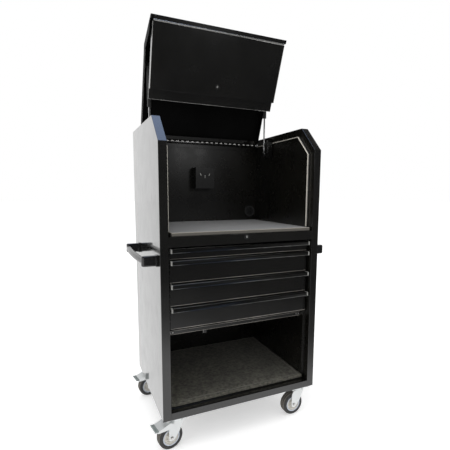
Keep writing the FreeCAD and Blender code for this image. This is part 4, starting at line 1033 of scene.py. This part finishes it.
# Casters
@dataclass
class Caster:
    """One swivel caster: fork, rim, tyre and, on two of them, a brake pedal."""

    name: str
    kingpin: tuple[float, float]
    heading: float
    braked: bool
    trail: float = 0.0255
    axle_height: float = 0.050
    rim_radius: float = 0.035
    tyre_radius: float = 0.050
    half_width: float = 0.018
    fork_outside: float = 0.023
    plate_bolts: tuple[float, float] = (0.038, 0.031)
    plate_bolt_size: tuple[float, float] = (0.0065, 0.0045)
    axle_bolt_size: tuple[float, float] = (0.0060, 0.0040)
    shank_radius: float = 0.0049
    pad_halves: tuple[float, float] = (0.0268, 0.0250)

    def place(self) -> Matrix:
        """Returns the matrix from the fork's own frame to the model's frame."""
        spot = Matrix.Translation((*self.kingpin, 0.0))
        return spot @ Matrix.Rotation(-math.radians(self.heading), 4, "Z")

    def wheel_place(self) -> Matrix:
        """Returns the matrix from the wheel's own frame to the model's frame."""
        return self.place() @ Matrix.Translation((0.0, -self.trail, self.axle_height))

    def build(self) -> None:
        """Builds every piece of the caster."""
        self.build_fork()
        self.build_plate_bolts()
        self.build_rim()
        self.build_tyre()
        if self.braked:
            self.build_pedal()

    def hex_bolt(self, place: Matrix, radius: float, thickness: float) -> BMesh:
        """Makes a hexagon head on its washer, with its foot at the place's origin.

        Args:
            place: Where it goes, its axis along X.
            radius: The head's radius over its corners.
            thickness: The head's height.

        Returns:
            The head and the washer.
        """
        flange = radius * 1.3
        washer = [(1e-5, 0.0), (flange, 0.0), (flange, 0.0009), (radius * 1.22, 0.0011), (1e-5, 0.0011)]
        top = thickness + 0.0006
        head = [(1e-5, 0.0011), (radius, 0.0011), (radius, thickness), (radius * 0.84, top), (1e-5, top)]
        mesh = lathe(washer, place, 24)
        join_into(mesh, lathe(head, place, 6, 20.0))
        return mesh

    def build_fork(self) -> None:
        """Builds the fork from its node, with a hexagon bolt and nut on its axle."""
        node = f"{self.name}_caster_fork"
        mesh = softened_copy(node, 0.0012, 3)
        own = self.place().inverted()

        def on_axle(spot: Vector) -> bool:
            """Tells whether a point belongs to the plain axle bolt."""
            local = own @ spot
            return math.hypot(local.y + self.trail, local.z - self.axle_height) < 0.0084

        drop_loose(mesh, on_axle)
        for side in (-1, 1):
            spot = Matrix.Translation((side * self.fork_outside, -self.trail, self.axle_height))
            turn = Matrix.Rotation(0.0 if side > 0 else math.pi, 4, "Z")
            join_into(mesh, self.hex_bolt(self.place() @ spot @ turn, *self.axle_bolt_size), 1)
        shank = bead((-self.fork_outside, 0, 0), (self.fork_outside, 0, 0), self.shank_radius)
        join_into(mesh, moved(shank, self.wheel_place()), 1)
        stand_in(node, f"{node}_pressed", mesh, f"{self.name}_swivel", [ZINC, BRIGHT_STEEL])

    def build_plate_bolts(self) -> None:
        """Builds the four bolts that hold the caster's plate."""
        bolts = bmesh.new()
        across, back = self.plate_bolts
        for side in (-1, 1):
            for end in (-1, 1):
                spot = (self.kingpin[0] + side * across, self.kingpin[1] + end * back, BOTTOM - 0.004)
                join_into(bolts, self.hex_bolt(aimed(spot, (0, 0, -1)), *self.plate_bolt_size))
        finished_object(f"{self.name}_plate_bolts", bolts, "cabinet", [BRIGHT_STEEL])

    def build_rim(self) -> None:
        """Builds the moulded rim with its hub, ribbed recess, web and bright outer ring."""
        half = [
            (0.0056, 0.0193), (0.0098, 0.0193), (0.0110, 0.0184), (0.0116, 0.0150), (0.0126, 0.0096),
            (0.0142, 0.0080), (0.0200, 0.0078), (0.0216, 0.0092), (0.0226, 0.0122), (0.0240, 0.0130),
            (0.0266, 0.0130), (0.0282, 0.0118), (0.0294, 0.0120), (0.0300, 0.0158), (0.0308, 0.0166),
            (0.0338, 0.0168), (self.rim_radius, 0.0158),
        ]
        profile = half + [(radius, -along) for radius, along in reversed(half)]
        mesh = lathe(profile, Matrix.Identity(4), 64)
        for face in mesh.faces:
            middle = face.calc_center_median()
            face.material_index = 1 if math.hypot(middle.y, middle.z) > 0.0298 else 0
        for number in range(6):
            turn = Matrix.Rotation(math.radians(60.0 * number), 4, "X")
            for side in (-1, 1):
                near, far = sorted((side * 0.0070, side * 0.0122))
                rib = block((near, -0.0014, 0.0118), (far, 0.0014, 0.0228), 0.0005)
                join_into(mesh, moved(rib, turn), 0)
        stand_in(f"{self.name}_caster_rim", f"{self.name}_rim_moulded", moved(mesh, self.wheel_place()),
                 f"{self.name}_wheel", [RIM_PLASTIC, RIM_RING])

    def build_tyre(self) -> None:
        """Builds the tyre with rounded shoulders and two tread grooves, darkened with painted shade."""
        rim = self.rim_radius
        tread = self.tyre_radius
        half = [
            (tread, 0.0), (tread, 0.0042), (tread - 0.0016, 0.0047), (tread - 0.0016, 0.0065),
            (tread, 0.0070), (tread - 0.0002, 0.0112), (tread - 0.0011, 0.0138), (tread - 0.0028, 0.0160),
            (tread - 0.0056, 0.0174), (tread - 0.0100, self.half_width), (rim + 0.0016, 0.0178),
            (rim + 0.0003, 0.0172), (rim + 0.0001, 0.0150),
        ]
        profile = half[::-1] + [(radius, -along) for radius, along in half[1:]]
        mesh = lathe(profile, Matrix.Identity(4), 80)
        for face in mesh.faces:
            middle = face.calc_center_median()
            radius = math.hypot(middle.y, middle.z)
            # The groove faces are darker than the tyre's own rubber: painted shade.
            if abs(abs(middle.x) - 0.0056) < 0.0012 and radius < tread - 0.0002:
                face.material_index = 2
            else:
                face.material_index = 1 if radius > tread - 0.0016 else 0
        stand_in(f"{self.name}_caster_tyre", f"{self.name}_tyre_moulded", moved(mesh, self.wheel_place()),
                 f"{self.name}_wheel", [TYRE_RUBBER, TREAD_RUBBER, GROOVE_SHADE])

    def build_pedal(self) -> None:
        """Builds the brake pedal with a ribbed rubber pad on its tab."""
        node = f"{self.name}_brake_pedal"
        dress_copy(node, f"{self.name}_brake", [ZINC], 0.0007, 2)
        tab = BOTTOM - 0.0358
        half, rib_half = self.pad_halves
        pad = block((-half, -0.0940, tab - 0.0020), (half, -0.0800, tab + 0.0020), 0.0012, 3)
        join_into(pad, block((-half, -0.0950, tab - 0.0020), (half, -0.0926, tab + 0.0046), 0.0011, 3))
        for number in range(3):
            back = -0.0902 + number * 0.0038
            rib = block((-rib_half, back, tab + 0.0016), (rib_half, back + 0.0016, tab + 0.0028), 0.0005)
            join_into(pad, rib)
        moved(pad, self.place())
        finished_object(f"{node}_pad", pad, f"{self.name}_brake", [PEDAL_RUBBER])


# Studio
@dataclass
class Studio:
    """Floor, lights, surroundings and camera."""

    floor_half: float = 40.0
    camera_spot: tuple[float, float] = (-0.630, -1.490)
    camera_rise: float = 0.861
    camera_forward: tuple[float, float, float] = (0.39477, 0.90995, -0.12707)
    camera_right: tuple[float, float, float] = (0.91756, -0.39759, 0.00351)
    lens: float = 28.652
    shift_up: float = 0.0310
    skylight: tuple[float, float, float, float] = (1.00, 1.28, 1.90, 1.0)
    room_grey: tuple[float, float, float, float] = (0.80, 0.80, 0.80, 1.0)

    def build(self) -> None:
        """Builds the whole studio."""
        self.build_camera()
        self.build_floor()
        self.build_world()
        self.hang_light("top_softbox", (-0.5, -0.3, 3.4), (0.0, 0.0, 0.6), 2.4, 30.0)
        self.hang_light("left_fill", (-3.2, -1.4, 1.9), (0.0, 0.0, 0.8), 2.0, 12.0)
        self.hang_light("corner_glow", (0.455, -1.49, 1.455), (-0.09, 0.25, 1.23), 0.26, 0.6, True)
        bpy.context.scene.view_settings.view_transform = "Standard"

    def build_camera(self) -> None:
        """Places the camera where the photograph was taken from."""
        data = bpy.data.cameras.new("portrait_camera")
        data.lens = self.lens
        data.sensor_width = 36.0
        data.sensor_fit = "HORIZONTAL"
        data.shift_y = self.shift_up
        camera = bpy.data.objects.new("portrait_camera", data)
        forward = Vector(self.camera_forward).normalized()
        right = Vector(self.camera_right)
        right = (right - forward * right.dot(forward)).normalized()
        turn = Matrix((right, right.cross(forward), -forward)).transposed().to_4x4()
        camera.matrix_world = Matrix.Translation((*self.camera_spot, BOTTOM + self.camera_rise)) @ turn
        bpy.context.scene.collection.objects.link(camera)
        bpy.context.scene.camera = camera

    def build_floor(self) -> None:
        """Lays the white floor, which is dimmer in reflections far in front and to the right."""
        mesh = bmesh.new()
        bmesh.ops.create_grid(mesh, x_segments=1, y_segments=1, size=self.floor_half)
        data = bpy.data.meshes.new("studio_floor")
        mesh.to_mesh(data)
        mesh.free()
        material = bpy.data.materials.new("studio_floor")
        material.use_nodes = True
        bench = Bench(material.node_tree)
        path = bench.add("LightPath")
        glare = bench.span(path.outputs["Is Camera Ray"], (0.0, 1.0), (0.0, 0.42))
        shader = bench.nodes["Principled BSDF"]
        bench.fill(shader, Base_Color=(0.93, 0.93, 0.93, 1.0), Roughness=0.9, Specular_IOR_Level=0.0,
                   Emission_Color=WHITE, Emission_Strength=glare)
        spot = bench.add("SeparateXYZ", Vector=bench.add("TexCoord").outputs["Object"])
        reach = bench.reckon("SUBTRACT", spot.outputs["X"], spot.outputs["Y"])
        greys = [(0.20, 1.0), (0.26, 0.86), (0.35, 0.45), (0.475, 0.21), (0.80, 0.08), (1.0, 0.07)]
        stops = [(position, (value, value, value)) for position, value in greys]
        shown = bench.ramp(bench.span(reach, (0.0, 4.0)), stops)
        glow = bench.add("Emission", Color=shown)
        mix = bench.add("MixShader", Fac=path.outputs["Is Glossy Ray"])
        bench.join(shader.outputs["BSDF"], mix.inputs[1])
        bench.join(glow.outputs["Emission"], mix.inputs[2])
        bench.join(mix.outputs["Shader"], bench.nodes["Material Output"].inputs["Surface"])
        data.materials.append(material)
        floor = bpy.data.objects.new("studio_floor", data)
        bpy.context.scene.collection.objects.link(floor)

    def build_world(self) -> None:
        """Makes white surroundings, dark in front and overhead in reflections, with a skylight."""
        world = bpy.data.worlds.new("studio")
        bpy.context.scene.world = world
        world.use_nodes = True
        bench = Bench(world.node_tree)
        split = bench.add("SeparateXYZ", Vector=bench.add("TexCoord").outputs["Generated"])
        walls = bench.span(split.outputs["Y"], (-0.35, 0.15), (0.075, 1.03), smooth=True)
        overhead = bench.span(split.outputs["Z"], (0.45, 0.80), smooth=True)
        room = bench.mix(overhead, walls, 0.05, "FLOAT")
        near_top = bench.span(split.outputs["Z"], (0.88, 0.95), smooth=True)
        near_left = bench.span(split.outputs["X"], (0.50, 0.34), smooth=True)
        mirrored = bench.mix(bench.reckon("MULTIPLY", near_top, near_left), room, self.skylight)
        path = bench.add("LightPath")
        lit = bench.mix(path.outputs["Is Glossy Ray"], self.room_grey, mirrored)
        seen = bench.reckon("MAXIMUM", path.outputs["Is Camera Ray"], path.outputs["Is Transmission Ray"])
        bench.fill(bench.nodes["Background"], Color=bench.mix(seen, lit, WHITE))

    def hang_light(self, name: str, spot: tuple[float, float, float], aim: tuple[float, float, float],
                   size: float, power: float, mirrored: bool = False) -> None:
        """Hangs one square soft light.

        Args:
            name: The light's name.
            spot: Where it hangs.
            aim: What it points at.
            size: Its side in metres.
            power: Its power in watts.
            mirrored: Whether glossy surfaces show it.
        """
        data = bpy.data.lights.new(name, "AREA")
        data.size = size
        data.energy = power
        light = bpy.data.objects.new(name, data)
        turn = (Vector(aim) - Vector(spot)).to_track_quat("-Z", "Y").to_matrix().to_4x4()
        light.matrix_world = Matrix.Translation(spot) @ turn
        light.visible_glossy = mirrored
        bpy.context.scene.collection.objects.link(light)


def main() -> None:
    """Builds every part of the portrait."""
    logging.basicConfig(level=logging.INFO, format="%(name)s %(message)s")
    Studio().build()
    Cabinet().build()
    for number in range(1, 5):
        Drawer(number).build()
    Lid().build()
    for caster in (
        Caster("front_left", (-0.284, -0.206), 80.6, True),
        Caster("front_right", (0.284, -0.206), 88.2, False),
        Caster("rear_left", (-0.284, 0.206), 79.9, True),
        Caster("rear_right", (0.284, 0.206), 84.0, False),
    ):
        caster.build()


if __name__ == "__main__":
    main()
